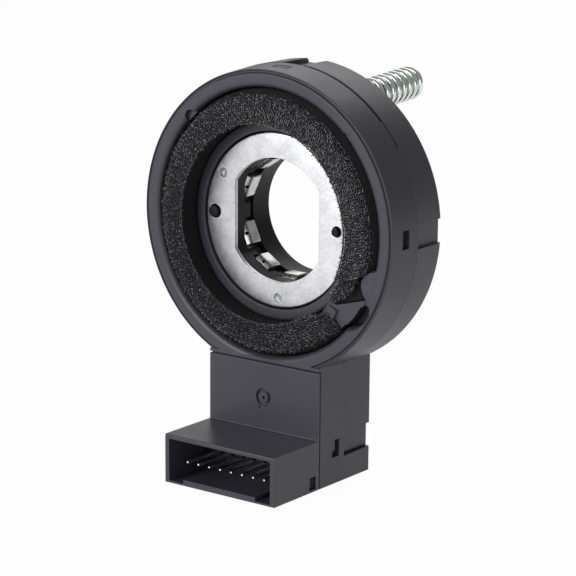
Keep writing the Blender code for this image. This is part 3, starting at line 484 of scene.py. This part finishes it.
def makeRearShell():
    f = rear
    shell = makeObject("rearShell", rearRing())
    half, low, high = f["boxHalf"], base + f["recessLow"], base + f["recessHigh"]
    plan = roundOff([(-half, f["boxFront"]), (half, f["boxFront"]),
                     (half, f["boxBack"], f["boxRound"]), (-half, f["boxBack"], f["boxRound"])], 5)
    floor = base + f["hollowFloor"]
    hollow = [(f["hollowFront"], floor), (f["hollowBack"], floor), (f["hollowBack"], f["hollowRoof"]),
              (f["hollowStep"], f["hollowRoof"]), (f["hollowStep"], f["hollowTop"]),
              (f["hollowFront"], f["hollowTop"])]
    cuts, adds = [], []
    for angle, depth, tip in f["latches"]:
        cuts.append(radial(oblong(f["side"] - depth, *f["recess"]), f["recessHalf"], angle))
        arm = [(26.0, -1.2), (26.9, -1.2), (26.9, -0.35), (tip, -0.15), (tip, 1.05), (26.9, 1.05),
               (26.9, 3.9), (27.5, 4.1), (27.5, 6.7), (26.0, 7.1)]
        adds.append(radial(arm, f["armHalf"], angle))
    cuts.append(bothSides(half - f["boxRecess"], *f["boxRecessRoom"], low, high))
    for sign in (-1, 1):
        hook = [(sign * x, y) for x, y in f["hook"]]
        adds.append(extrude(hook, "z", base + f["hookLow"], base + f["hookHigh"]))
    for angle in f["postAngles"]:
        post = circle(*polar(f["postCircle"], angle), f["postRadius"], 24)
        adds.append(extrude(post, "y", f["postFront"], f["postBack"]))
    corners, faces = turn(f["stud"], 32)
    stud = ([coilFrame(*corner) for corner in corners], faces)
    carve(shell, [("UNION", extrude(plan, "z", base, f["shoulder"])),
                  ("UNION", bothSides(*f["cheek"])),
                  ("DIFFERENCE", extrude(hollow, "x", -f["hollowHalf"], f["hollowHalf"])),
                  ("DIFFERENCE", merge(*cuts)),
                  ("DIFFERENCE", bothSides(*f["slot"], low + f["slotLow"], low + f["slotHigh"])),
                  ("UNION", merge(*adds)), ("UNION", stud)])
    finishPiece(shell, "housing", ["rear_housing"], housingLook, even=True)


makeRearShell()
print("rear shell made")


# Front panel and plug connector; heights are above the base, except panelTop and tabTop

plug = dict(
    mouth=-16.9, face=-3.65, back=-3.25, height=9.3, half=12.6, wall=0.9, topWall=0.8, deep=-5.0,
    baseRound=0.15, panelRound=0.12, topRound=0.2, mouthRound=0.3,
    keyWidth=3.4, bar=1.15, floor=0.4, panelTop=-26.2,
    tab=(-10.8, 10.8, -3.45, -1.85), tabLow=1.5, tabTop=-26.8,
    slotDepth=0.7, slotOut=14, slotFront=-6.2, slotBack=-4.25, slotLow=0.45, slotHigh=2.9,
    pins=8, pitch=2.54, pinHalf=0.32, pinLevel=4.0, pinTip=-15.0, pinEnd=10.3, pinBevel=0.08,
    holeHalf=0.62, holeFront=-5.5, holeBack=0,
)

# The mould mark: a round groove about a low disc, a centre dot and a short tick
mark = dict(
    level=15.5, inside=1.15, outside=1.65, front=-4.5, grooveBack=-3.2, dotBack=-3.3, tickBack=-3.45,
    dot=(0.1, -0.05), dotRadius=0.3, tick=((-1.25, -1.35), (-1.0, -1.4), (-0.7, -2.2), (-0.95, -2.2)),
)


def mouldMark():
    f = mark
    level, front, back = base + f["level"], f["front"], f["grooveBack"]
    groove = turn([(f["inside"] - 0.1, front), (f["outside"] + 0.2, front),
                   (f["outside"] - 0.05, back), (f["inside"], back)], 48)
    dot = circle(f["dot"][0], level + f["dot"][1], f["dotRadius"], 16)
    tick = [(x, level + z) for x, z in f["tick"]]
    return merge(shifted(groove, 0, 0, level), extrude(dot, "y", front, f["dotBack"]),
                 extrude(tick, "y", front, f["tickBack"]))


def pinColumns():
    return [(i - (plug["pins"] - 1) / 2) * plug["pitch"] for i in range(plug["pins"])]


def makeConnector():
    f = plug
    top = base + f["height"]
    side = roundOff([(f["mouth"], base, f["baseRound"]), (f["back"], base), (f["back"], f["panelTop"]),
                     (f["face"], f["panelTop"], f["panelRound"]), (f["face"], top, f["topRound"]),
                     (f["mouth"], top, f["mouthRound"])], 4)
    body = makeObject("connectorBody", extrude(side, "x", -f["half"], f["half"]))
    # the mouth, with a bar along the middle of its floor
    inner = f["half"] - f["wall"]
    low, high = base + f["bar"], top - f["topWall"]
    step, deep = inner - f["keyWidth"], base + f["floor"]
    hollow = [(-inner, deep), (-step, deep), (-step, low), (step, low), (step, deep), (inner, deep),
              (inner, high), (-inner, high)]
    cuts = []
    z, half = base + f["pinLevel"], f["holeHalf"]
    for x in pinColumns():
        cuts.append(block(x - half, x + half, f["holeFront"], f["holeBack"], z - half, z + half))
    cuts.append(bothSides(f["half"] - f["slotDepth"], f["slotOut"], f["slotFront"], f["slotBack"],
                          base + f["slotLow"], base + f["slotHigh"]))
    carve(body, [("UNION", block(*f["tab"], base + f["tabLow"], f["tabTop"])),
                 ("DIFFERENCE", extrude(hollow, "y", -18, f["deep"])),
                 ("DIFFERENCE", merge(*cuts)), ("DIFFERENCE", mouldMark())])
    finishPiece(body, "housing", ["connector_body"], connectorLook, even=True)


def pinRing(x, y, z, half):
    # an octagon that is nearly a square
    c = min(plug["pinBevel"], half * 0.4)
    corners = ((-half + c, -half), (half - c, -half), (half, -half + c), (half, half - c),
               (half - c, half), (-half + c, half), (-half, half - c), (-half, -half + c))
    return [(x + a, y, z + b) for a, b in corners]


def makePins():
    f = plug
    half, tip, end = f["pinHalf"], f["pinTip"], f["pinEnd"]
    stations = [(tip, 0.14), (tip + 0.05, 0.2), (tip + 0.5, half - 0.03), (tip + 0.6, half),
                (end - 0.4, half), (end, 0.2)]
    for i, x in enumerate(pinColumns(), 1):
        rings = [pinRing(x, y, base + f["pinLevel"], size) for y, size in stations]
        pin = makeObject("contactPin%d" % i, loft(rings))
        finishPiece(pin, "housing", ["contact_pin_%d" % i], tinLook, 20)


makeConnector()
makePins()
print("connector and pins made")


# Foam ring: a soft crowned body under a net of open cells

foam = dict(
    # its section, from the back up the outer wall, over the crown and down the inner wall
    inner=18.5, outer=24.75, back=0.6, outerEdge=-2.2, shoulder=22.9, shoulderEdge=-4.8, crown=-5.2,
    innerEdge=-4.95, crownShift=0.2, wallSlant=(0.1, 0.3), outerRound=0.8, shoulderRound=1.2, crownRound=5.0,
    innerRound=0.3, rows=48, columns=300, lumps=((1.5, 0.05), (0.35, 0.10)), sink=0.2,
    # its two ends: the upper one is slanted, the lower one is tucked in and tapers
    start=-25.5, end=-46.8, slant=11.5, tuck=1.7, tuckSweep=11.0, taperSweep=6.5, taperLevel=-2.7,
)

# The net: sizes in mm, pairs are the least and the most of a random draw
net = dict(
    cell=0.52, shiftAlong=0.22, shiftAcross=0.18, rise=(-0.16, 0.14), bare=4.7, past=0.25,
    strut=0.055, strutShare=(0.6, 1.4), shortest=0.05, longest=1.2,
    flakes=5200, flakeSize=(0.05, 0.15), endStruts=200, endDepth=2.4, endLength=(0.25, 0.5),
    hairs=1500, hairRoots=(3.9, 5.6), hairLength=(0.15, 0.5), hairLean=0.003, hairShare=(0.5, 1.1),
)

# The torn strip that runs on from the upper end, along the collar; corners are (radius, angle)
tail = dict(
    upper=((18.5, -21), (21.6, -20), (21.8, -28.5), (20.2, -34.5), (19.3, -40.5), (18.7, -40)),
    upperLevels=((-3.3, 0.8), (-3.1, 0.93), (-2.7, 1.0), (0.6, 1.0)),
    # under it a sheet of the dark foam fills the trough: painted shade, a dark sheet standing for the
    # hollow's shadow
    under=((18.6, -21.5), (24.6, -18), (24.7, -27), (21.3, -36), (20.2, -39.4), (18.8, -41)),
    underLevels=((-2.0, 0.93), (-1.8, 0.97), (-1.5, 0.98), (0.55, 0.98)),
    spots=420, angles=(-40, -21), radii=(18.5, 21.8), narrowFrom=28.5, narrowBy=0.21, level=-3.3,
    spotRise=(-0.12, 0.25), strutLength=(0.3, 0.6), flakeSize=(0.05, 0.13),
)


def foamLooks():
    body, tree, shader = newLook("foamBody", (0.014, 0.014, 0.015), 0.95, 0.0, 0.2)
    grain(tree, shader, [(noiseNode(tree, 2600, 3), 0.16), (noiseNode(tree, 7000, 2), 0.06)])
    cells, tree, shader = newLook("foamCells", (0.03, 0.03, 0.03), 0.3, 0.0, 0.6)
    # cell tones at random, up to a light grey that is partly painted glint on the black struts
    shades = [(0.38, (0.014, 0.014, 0.016)), (0.52, (0.046, 0.045, 0.050)), (0.66, (0.17, 0.17, 0.18))]
    tree.links.new(ramp(tree, noiseNode(tree, 3200, 3, 0.7), shades), shader.inputs["Base Color"])
    tree.links.new(spread(tree, noiseNode(tree, 1500, 2), 0.25, 0.55), shader.inputs["Roughness"])
    return body, cells


def foamPath():
    # the section's line as (run, point)
    f = foam
    middle = (f["inner"] + f["outer"]) / 2 - f["crownShift"]
    outerSlant, innerSlant = f["wallSlant"]
    outline = roundOff([(f["outer"] - outerSlant, f["back"]), (f["outer"], f["outerEdge"], f["outerRound"]),
                        (f["shoulder"], f["shoulderEdge"], f["shoulderRound"]),
                        (middle, f["crown"], f["crownRound"]), (f["inner"], f["innerEdge"], f["innerRound"]),
                        (f["inner"] + innerSlant, f["back"])], 7)
    points = [Vector(p) for p in outline]
    path, run = [(0.0, points[0])], 0.0
    for a, b in zip(points, points[1:]):
        run += (b - a).length
        path.append((run, b))
    return path


def alongPath(path, s):
    # the point at a run of s, and the direction out of the foam there
    for (s0, a), (s1, b) in zip(path, path[1:]):
        if s <= s1:
            d = (b - a).normalized()
            return a.lerp(b, (s - s0) / max(s1 - s0, 1e-9)), Vector((-d.y, d.x))
    d = (path[-1][1] - path[-2][1]).normalized()
    return path[-1][1].copy(), Vector((-d.y, d.x))


def foamPoint(path, share, s, rise):
    # share runs along the ring, s along the section; rise is out of the surface
    f = foam
    point, out = alongPath(path, s)
    across = (point.x - f["inner"]) / (f["outer"] - f["inner"])
    start = f["start"] + f["slant"] * across
    angle = start + (f["end"] + 360 - start) * share
    late = max(0.0, 1 - (f["end"] + 360 - angle) / f["tuckSweep"])
    x, z = polar(point.x + out.x * rise + f["tuck"] * (1 - across) * late, angle)
    y = point.y + out.y * rise
    ending = max(0.0, 1 - (f["end"] + 360 - angle) / f["taperSweep"]) ** 2
    if y < f["taperLevel"]:   # the crown falls away towards the lower end
        y += (f["taperLevel"] - y) * ending
    return Vector((x, y, z))


def makeFoam(look):
    f = foam
    path = foamPath()
    total = path[-1][0]
    rows, columns = f["rows"], f["columns"]
    rings = []
    for i in range(columns + 1):
        ring = []
        for j in range(rows + 1):
            share, s = i / columns, total * j / rows
            at = foamPoint(path, share, s, 0)
            lump = sum(noise.noise(at * scale) * size for scale, size in f["lumps"]) - f["sink"]
            held = min(1.0, 4 * min(j, rows - j) / rows)   # no lumps where the foam meets its seat
            ring.append(tuple(foamPoint(path, share, s, lump * held)))
        rings.append(ring)
    body = makeObject("foamRing", loft(rings))
    finishPiece(body, "housing", ["foam_seal"], look, 60)
    return path


def makeFoamTail(look):
    # returns the spots that carry the strip's part of the net
    f = tail
    rng = random.Random(11)
    upper, under = [[polar(*corner) for corner in f[name]] for name in ("upper", "under")]
    # the second sheet is painted shade: dark foam put in the hollow beside the strip
    strip = makeObject("foamTail", merge(swollen(upper, f["upperLevels"]), swollen(under, f["underLevels"])))
    finishPiece(strip, "housing", [], look, 60)
    spots = []
    while len(spots) < f["spots"]:
        angle, r = rng.uniform(*f["angles"]), rng.uniform(*f["radii"])
        if r < f["radii"][1] - max(0.0, -angle - f["narrowFrom"]) * f["narrowBy"]:
            x, z = polar(r, angle)
            spots.append(Vector((x, f["level"] + rng.uniform(*f["spotRise"]), z)))
    return spots


def cellNet(path, rng):
    # the struts run along the borders between scattered seed points
    f = net
    total = path[-1][0]
    sweep = math.radians(foam["end"] + 360 - foam["start"])
    wide = sweep * (foam["inner"] + foam["outer"]) / 2
    edge = next(s for s, p in path if p.x < foam["inner"] + 0.5 and p.y > foam["crown"])
    seeds = []
    rows = int(total / (f["cell"] * 0.87))
    for j in range(rows + 1):
        for i in range(int(wide / f["cell"]) + 1):
            along = (i + (j % 2) / 2) * f["cell"] + rng.uniform(-f["shiftAlong"], f["shiftAlong"])
            s = total * j / rows + rng.uniform(-f["shiftAcross"], f["shiftAcross"])
            seeds.append(Vector((along, s)))
    found = geometry.delaunay_2d_cdt(seeds, [], [], 0, 1e-6)
    middles, owners = [], {}
    for k, triangle in enumerate(found[2]):
        middles.append(sum((found[0][n] for n in triangle), Vector((0, 0))) / 3)
        for m, n in ((0, 1), (1, 2), (2, 0)):
            owners.setdefault(tuple(sorted((triangle[m], triangle[n]))), []).append(k)
    corners = []
    for along, s in middles:
        share, rise = min(max(along / wide, 0.0005), 0.9995), rng.uniform(*f["rise"])
        corners.append(foamPoint(path, share, min(max(s, f["bare"]), edge + f["past"]), rise))
    # the outer flank stays bare, in the shade of the seat
    shown = [pair for pair in owners.values()
             if len(pair) == 2 and min(middles[k].y for k in pair) > f["bare"]]
    return corners, shown


def addStrut(verts, faces, a, b, size):
    # a closed three-sided rod
    d = (b - a).normalized()
    u = d.orthogonal().normalized()
    w = d.cross(u)
    first = len(verts)
    for end in (a, b):
        for k in range(3):
            t = 2 * math.pi * k / 3
            verts.append(tuple(end + (u * math.cos(t) + w * math.sin(t)) * size))
    for k in range(3):
        n = (k + 1) % 3
        faces.append((first + k, first + n, first + 3 + n, first + 3 + k))
    faces += [(first, first + 1, first + 2), (first + 3, first + 4, first + 5)]


def anyWay(rng, lean=1):
    # a random direction; a small lean keeps it near the face's plane
    return Vector((rng.uniform(-1, 1), rng.uniform(-lean, lean), rng.uniform(-1, 1))).normalized()


def addFlake(verts, faces, at, rng, size):
    # a thin closed chip
    u = anyWay(rng)
    w = u.orthogonal().normalized()
    first = len(verts)
    verts += [tuple(at + u * size), tuple(at - u * size * 0.8), tuple(at + w * size * 1.1),
              tuple(at + u.cross(w) * size * 0.25)]
    faces += [(first, first + 1, first + 2), (first, first + 1, first + 3), (first + 1, first + 2, first + 3),
              (first + 2, first, first + 3)]


def makeCells(path, tailSpots, look):
    f = net
    strut = f["strut"]
    rng = random.Random(7)
    corners, pairs = cellNet(path, rng)
    verts, faces = [], []
    for m, n in pairs:
        if f["shortest"] < (corners[n] - corners[m]).length < f["longest"]:
            addStrut(verts, faces, corners[m], corners[n], strut * rng.uniform(*f["strutShare"]))
    for k in range(f["flakes"]):   # torn skins that catch the light
        addFlake(verts, faces, rng.choice(corners), rng, rng.uniform(*f["flakeSize"]))
    total = path[-1][0]
    for k in range(f["endStruts"]):   # the net's torn edge on the cut face at the lower end
        s, deep = rng.uniform(f["bare"], total - 1.5), rng.uniform(0, f["endDepth"])
        at = foamPoint(path, 1.0, s, -deep)
        addStrut(verts, faces, at, at + anyWay(rng) * rng.uniform(*f["endLength"]), strut)
    for spot in tailSpots:
        addStrut(verts, faces, spot, spot + anyWay(rng, 0.4) * rng.uniform(*tail["strutLength"]), strut)
        addFlake(verts, faces, spot, rng, rng.uniform(*tail["flakeSize"]))
    innerEdge = [s for s, p in path if abs(p.x - foam["inner"]) < 0.4 and p.y < foam["innerEdge"] + 0.6]
    for k in range(f["hairs"]):   # loose ends, two on the inner edge for each one on the outer edge
        s = rng.choice(innerEdge) if k % 3 else rng.uniform(*f["hairRoots"])
        share = rng.uniform(0.002, 0.998)
        root = foamPoint(path, share, s, 0)
        lean = rng.uniform(-f["hairLean"], f["hairLean"])
        tip = foamPoint(path, share + lean, s, rng.uniform(*f["hairLength"]))
        addStrut(verts, faces, root, tip, strut * rng.uniform(*f["hairShare"]))
    cells = makeObject("foamCells", (verts, faces))
    finishPiece(cells, "housing", [], look, 20)
    print("foam net:", len(faces), "faces")


foamLook, cellLook = foamLooks()
makeCells(makeFoam(foamLook), makeFoamTail(foamLook), cellLook)
print("foam made")


# Rotor: plate, sleeve and leaf spring

rotor = dict(
    plate=16.3, thick=0.8, hole=11.55, flat=9.6, holeSteps=59, edge=0.08, roll=0.3,
    pinSpots=((14.3, 180.0, 1.05), (13.6, -1.5, 0.75)), pinGap=0.3, pinStand=0.7, pinRound=0.15, pinFoot=1.6,
    punches=((14.45, 148.7), (14.6, 271.5)),
    punch=((0.30, -1), (1.0, -1), (0.94, 0.05), (0.64, 0.6), (0.36, 0.05)),
    # the hub
    core=9.9, flange=16.3, flangeFront=1.1, flangeBack=2.4, ledge=18.5, ledgeBack=3.2,
    neck=13.6, neckBack=3.6,
    bore=11.65, sleeve=12.9, collar=13.0, back=13.3, groove=12.3, pillarBack=5.4, facet=11.45, facetFlat=10.2,
    windowFront=3.7, windowBack=8.1, windowIn=9, windowOut=13.2, windowGap=0.6,
    # the leaf spring: its bow is (distance from the edge, lift)
    leafAngles=(23.5, 56.75, 90.0, 123.25, 156.5), leafWide=4.4, leafNarrow=3.5,
    leafFront=3.78, leafBack=8.02, band=13.2, crest=10.7, flare=0.3, strip=0.3, leafHole=0.34, leafHoleAt=0.5,
    bow=((0.0, 0.75), (0.3, 0.42), (0.65, 0.17), (1.0, 0.04), (1.35, 0.0)),
)


def doubleD(radius, flat, steps):
    corner = math.degrees(math.acos(flat / radius))
    sweep = 180 - 2 * corner
    return [polar(radius, first + sweep * i / steps)
            for first in (corner, 180 + corner) for i in range(steps + 1)]


def makePlate():
    f = rotor
    profile = [(9.0, 0), (f["plate"], 0, f["roll"]), (f["plate"], f["thick"], 0.1), (9.0, f["thick"])]
    plate = makeObject("drivePlate", turn(roundOff(profile, 5), 240))
    grow = f["edge"]
    rings = []
    for wide, y in ((2 * grow, -grow), (0.35 * grow, 0.65 * grow), (0, 2 * grow), (0, 2)):
        outline = doubleD(f["hole"] + wide, f["flat"] + wide, f["holeSteps"])
        rings.append([(x, y, z) for x, z in outline])
    cuts = []
    for radius, angle, size in f["pinSpots"]:
        x, z = polar(radius, angle)
        cuts.append(extrude(circle(x, z, size + f["pinGap"], 32), "y", -1, 2))
    marks = []
    for radius, angle in f["punches"]:   # a crisp punched ring with a pip left in its middle
        x, z = polar(radius, angle)
        marks.append(shifted(turn(f["punch"], 28), x, 0, z))
    carve(plate, [("DIFFERENCE", loft(rings)), ("DIFFERENCE", merge(*cuts)), ("DIFFERENCE", merge(*marks))])
    finishPiece(plate, "rotor", ["drive_plate"], plateLook, 25)


def leafPlaces():
    # (angle, width) of the ten leaves
    f = rotor
    ends = (f["leafAngles"][0], f["leafAngles"][-1])
    return [(angle + half, f["leafWide"] if angle in ends else f["leafNarrow"])
            for half in (0.0, 180.0) for angle in f["leafAngles"]]


def facetOutline():
    # the bore's front has a flat before each leaf and one at each side
    f = rotor
    sides = [(0.0, f["facetFlat"]), (180.0, f["facetFlat"])]
    sides = sorted(sides + [(angle, f["facet"]) for angle, width in leafPlaces()])
    corners = []
    for k, (a, d) in enumerate(sides):
        b, e = sides[(k + 1) % len(sides)]
        a, b = math.radians(a), math.radians(b)
        det = math.sin(b - a)
        corners.append(((d * math.sin(b) - e * math.sin(a)) / det, (e * math.cos(a) - d * math.cos(b)) / det))
    return corners


def makeHub():
    f = rotor
    back, front = f["back"], f["windowBack"]   # of the collar behind the windows
    profile = [(f["core"], f["flangeFront"]), (f["flange"], f["flangeFront"]), (f["flange"], f["flangeBack"]),
               (f["ledge"], f["flangeBack"]), (f["ledge"], f["ledgeBack"]), (f["neck"], f["ledgeBack"]),
               (f["neck"], f["neckBack"]), (f["sleeve"], f["neckBack"]), (f["sleeve"], front),
               (f["collar"], front + 0.2), (f["collar"], back - 0.35), (f["collar"] - 0.35, back),
               (f["bore"] + 0.3, back), (f["bore"], back - 0.3), (f["bore"], front), (f["groove"], front),
               (f["groove"], f["pillarBack"]), (f["core"], f["pillarBack"])]
    hub = makeObject("rotorSleeve", turn(profile, 180))
    pins = []
    for radius, angle, size in f["pinSpots"]:
        x, z = polar(radius, angle)
        section = [(0.001, -f["pinStand"]), (size, -f["pinStand"], f["pinRound"]), (size, f["pinFoot"]),
                   (0.001, f["pinFoot"])]
        pins.append(shifted(turn(roundOff(section, 3), 32), x, 0, z))
    window = oblong(f["windowIn"], f["windowOut"], f["windowFront"], f["windowBack"])
    cuts = [radial(window, width / 2 + f["windowGap"], angle) for angle, width in leafPlaces()]
    carve(hub, [("DIFFERENCE", extrude(facetOutline(), "y", 0, 6)), ("UNION", merge(*pins)),
                ("DIFFERENCE", merge(*cuts))])
    finishPiece(hub, "rotor", ["rotor_hub"], hubLook)


def bandOutline(lift):
    # the strip's inner line all round; lift raises the leaves towards the band at their edges
    f = rotor
    band, crest = f["band"], f["crest"] + lift
    inner = []
    places = sorted(leafPlaces())
    for i, (angle, width) in enumerate(places):
        t = math.radians(angle)
        c, s = math.cos(t), math.sin(t)
        half = width / 2
        wide = half + f["flare"]
        shoulder = math.sqrt(band ** 2 - wide ** 2)
        dip = [(shoulder, -wide), (crest + 0.25, -half - 0.03), (crest + 0.06, -half + 0.12),
               (crest, -half + 0.3), (crest, half - 0.3), (crest + 0.06, half - 0.12),
               (crest + 0.25, half + 0.03), (shoulder, wide)]
        inner += [(d * c - q * s, d * s + q * c) for d, q in dip]
        after = places[(i + 1) % len(places)]
        start = angle + math.degrees(math.asin(wide / band))
        end = after[0] - math.degrees(math.asin((after[1] / 2 + f["flare"]) / band))
        end += 360 if end < start else 0
        inner += [polar(band, start + (end - start) * k / 6) for k in range(1, 6)]
    return inner


def thicker(outline, distance):
    # an outline moved outwards, mitred at its corners
    out = []
    n = len(outline)
    for i, (x, z) in enumerate(outline):
        before, after = outline[i - 1], outline[(i + 1) % n]
        a = Vector((x - before[0], z - before[1])).normalized()
        b = Vector((after[0] - x, after[1] - z)).normalized()
        na, nb = Vector((a.y, -a.x)), Vector((b.y, -b.x))
        m = (na + nb) * distance / (1 + na.dot(nb))
        out.append((x + m.x, z + m.y))
    return out


def makeLeaves():
    # one stamped band, with ten bowed leaves bent inwards and lead-in lips front and back
    f = rotor
    front, back = f["leafFront"], f["leafBack"]
    stations = [(front + p, lift) for p, lift in f["bow"]]
    stations += [(back - p, lift) for p, lift in reversed(f["bow"])]
    loops = [[(x, y, z) for x, z in bandOutline(lift)] for y, lift in stations]
    for y, lift in reversed(stations):
        loops.append([(x, y, z) for x, z in thicker(bandOutline(lift), f["strip"])])
    n = len(loops[0])
    verts = [corner for loop in loops for corner in loop]
    faces = []
    for k in range(len(loops)):
        faces += between(k * n, ((k + 1) % len(loops)) * n, n)
    leaves = makeObject("leafSpring", (verts, faces))
    cuts = []
    hole = circle(0, 0, f["leafHole"], 16)
    for angle, width in leafPlaces():
        t = math.radians(angle)
        c, s = math.cos(t), math.sin(t)
        y = front + f["leafHoleAt"]
        cuts.append(loft([[(r * c - q * s, y + p, r * s + q * c) for q, p in hole] for r in (9, 12.9)]))
    carve(leaves, [("DIFFERENCE", merge(*cuts))])
    finishPiece(leaves, "rotor", ["clamping_spring"], leafLook, 25)


makePlate()
makeHub()
makeLeaves()
print("rotor made")


# Coil spring on the rear

coil = dict(
    radius=3.15, wire=1.25, sides=14, perTurn=48, gap=0.3,
    turns=7.95, pitch=1.8, closed=0.75, closedPitch=1.3,
)


def makeCoil():
    f = coil
    count = int((f["turns"] + 2 * f["closed"]) * f["perTurn"])
    mean = f["radius"] - f["wire"] / 2
    along = f["gap"] + f["wire"] / 2
    rings = []
    for i in range(count + 1):
        angle = 2 * math.pi * i / f["perTurn"]
        rings.append([coilFrame((mean + x) * math.cos(angle), along + y, (mean + x) * math.sin(angle))
                      for x, y in circle(0, 0, f["wire"] / 2, f["sides"])])
        closed = min(i, count - i) < f["closed"] * f["perTurn"]   # the turns close up at both ends
        along += (f["closedPitch"] if closed else f["pitch"]) / f["perTurn"]
    spring = makeObject("coilSpring", loft(rings))
    finishPiece(spring, "housing", ["anti_rotation_spring"], coilLook, 60)


makeCoil()
print("coil spring made")


# Inner pieces that stay as the frame has them

def boardLook():
    look, tree, shader = newLook("boardLaminate", (0.02, 0.11, 0.05), 0.35)
    shades = [(0.4, (0.015, 0.09, 0.04)), (0.6, (0.03, 0.15, 0.07))]
    tree.links.new(ramp(tree, noiseNode(tree, 500, 4), shades), shader.inputs["Base Color"])
    grain(tree, shader, [(noiseNode(tree, 1800, 2), 0.01)], 0.05)
    return look


chipLook = plasticLook("chipBody", (0.02, 0.02, 0.02), (0.035, 0.035, 0.035), (0.45, 0.6))
innerLooks = dict(
    bearing_ring=plasticLook("acetal", (0.66, 0.65, 0.60), (0.74, 0.73, 0.68), (0.35, 0.45)),
    circuit_board=boardLook(), light_barrier_1=chipLook, light_barrier_2=chipLook, light_barrier_3=chipLook,
    controller_chip=chipLook, capacitor_1=chipLook, capacitor_2=chipLook, oscillator=tinLook,
    code_ring=hubLook,
)
for nodeName, look in innerLooks.items():
    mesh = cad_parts[nodeName].data
    mesh.materials.clear()
    mesh.materials.append(look)
print("inner pieces painted")


# Camera, floor and light, in metres and watts

studio = dict(
    lens=153.2584, place=(0.26523, -0.35102, 0.13911), azimuth=36.785, elevation=13.236, roll=0.437,
    world=0.32, worldColour=(0.95, 0.95, 1.0), mirrored=0.3,
    floorColour=(0.86, 0.86, 0.87), floorGlow=0.97, floorMirrored=0.9, floorHalf=4, floorLevel=-0.0001,
    target=(0, 0, 0.045),
    key=dict(place=(-0.21, -0.60, 0.29), size=0.4, power=3.35),
    top=dict(place=(-0.20, 0.45, 0.45), size=0.5, power=1.1),
    card=dict(place=(0.62, -0.47, 0.16), size=0.25, power=0.7),
)


def makeCamera():
    f = studio
    data = bpy.data.cameras.new("camera")
    data.lens = f["lens"]
    data.sensor_width = 36.0
    data.sensor_fit = "HORIZONTAL"
    data.clip_start = 0.01
    data.clip_end = 10.0
    camera = addObject("camera", data)
    turned = Matrix.Rotation(math.radians(f["azimuth"]), 4, "Z")
    turned = turned @ Matrix.Rotation(math.radians(90 - f["elevation"]), 4, "X")
    turned = turned @ Matrix.Rotation(math.radians(f["roll"]), 4, "Z")
    camera.matrix_world = Matrix.Translation(f["place"]) @ turned
    bpy.context.scene.camera = camera


def floorLook():
    # plain paint that keeps the shadow, shown nearly white to the camera
    f = studio
    look, tree, shader = newLook("floorPaint", f["floorColour"], 0.8)
    join = tree.links.new
    path = tree.nodes.new("ShaderNodeLightPath")
    before = shader.outputs[0]
    for ray, level in (("Is Glossy Ray", f["floorMirrored"]), ("Is Camera Ray", 1.0)):
        glow = tree.nodes.new("ShaderNodeEmission")
        glow.inputs["Strength"].default_value = level
        part = tree.nodes.new("ShaderNodeMath")
        part.operation = "MULTIPLY"
        part.inputs[1].default_value = f["floorGlow"]
        mix = tree.nodes.new("ShaderNodeMixShader")
        join(path.outputs[ray], part.inputs[0])
        join(part.outputs[0], mix.inputs["Fac"])
        join(before, mix.inputs[1])
        join(glow.outputs[0], mix.inputs[2])
        before = mix.outputs[0]
    join(before, tree.nodes["Material Output"].inputs["Surface"])
    return look


def makeFloor():
    half, level = studio["floorHalf"], studio["floorLevel"]
    mesh = bpy.data.meshes.new("floor")
    mesh.from_pydata([(x, y, level) for x, y in oblong(-half, half, -half, half)], [], [(0, 1, 2, 3)])
    mesh.materials.append(floorLook())
    floor = addObject("floor", mesh)


def makeWorld():
    f = studio
    world = bpy.data.worlds.new("studio")
    bpy.context.scene.world = world
    world.use_nodes = True
    tree = world.node_tree
    join = tree.links.new
    back = tree.nodes["Background"]
    setInputs(back, Color=(*f["worldColour"], 1), Strength=f["world"])
    path = tree.nodes.new("ShaderNodeLightPath")
    before = back.outputs[0]
    for ray, level in (("Is Glossy Ray", f["mirrored"]), ("Is Camera Ray", 1.0)):
        white = tree.nodes.new("ShaderNodeBackground")
        setInputs(white, Color=(1, 1, 1, 1), Strength=level)
        mix = tree.nodes.new("ShaderNodeMixShader")
        join(path.outputs[ray], mix.inputs["Fac"])
        join(before, mix.inputs[1])
        join(white.outputs[0], mix.inputs[2])
        before = mix.outputs[0]
    join(before, tree.nodes["World Output"].inputs["Surface"])


def softLight(name, place, size, power):
    data = bpy.data.lights.new(name, "AREA")
    data.shape = "SQUARE"
    data.size = size
    data.energy = power
    lamp = addObject(name, data)
    lamp.location = place
    aim = Vector(studio["target"]) - Vector(place)
    lamp.rotation_euler = aim.to_track_quat("-Z", "Y").to_euler()


makeCamera()
makeFloor()
makeWorld()
softLight("keyLight", **studio["key"])
softLight("topLight", **studio["top"])
softLight("sideCard", **studio["card"])
bpy.context.scene.view_settings.view_transform = "Standard"
print("camera and light set")
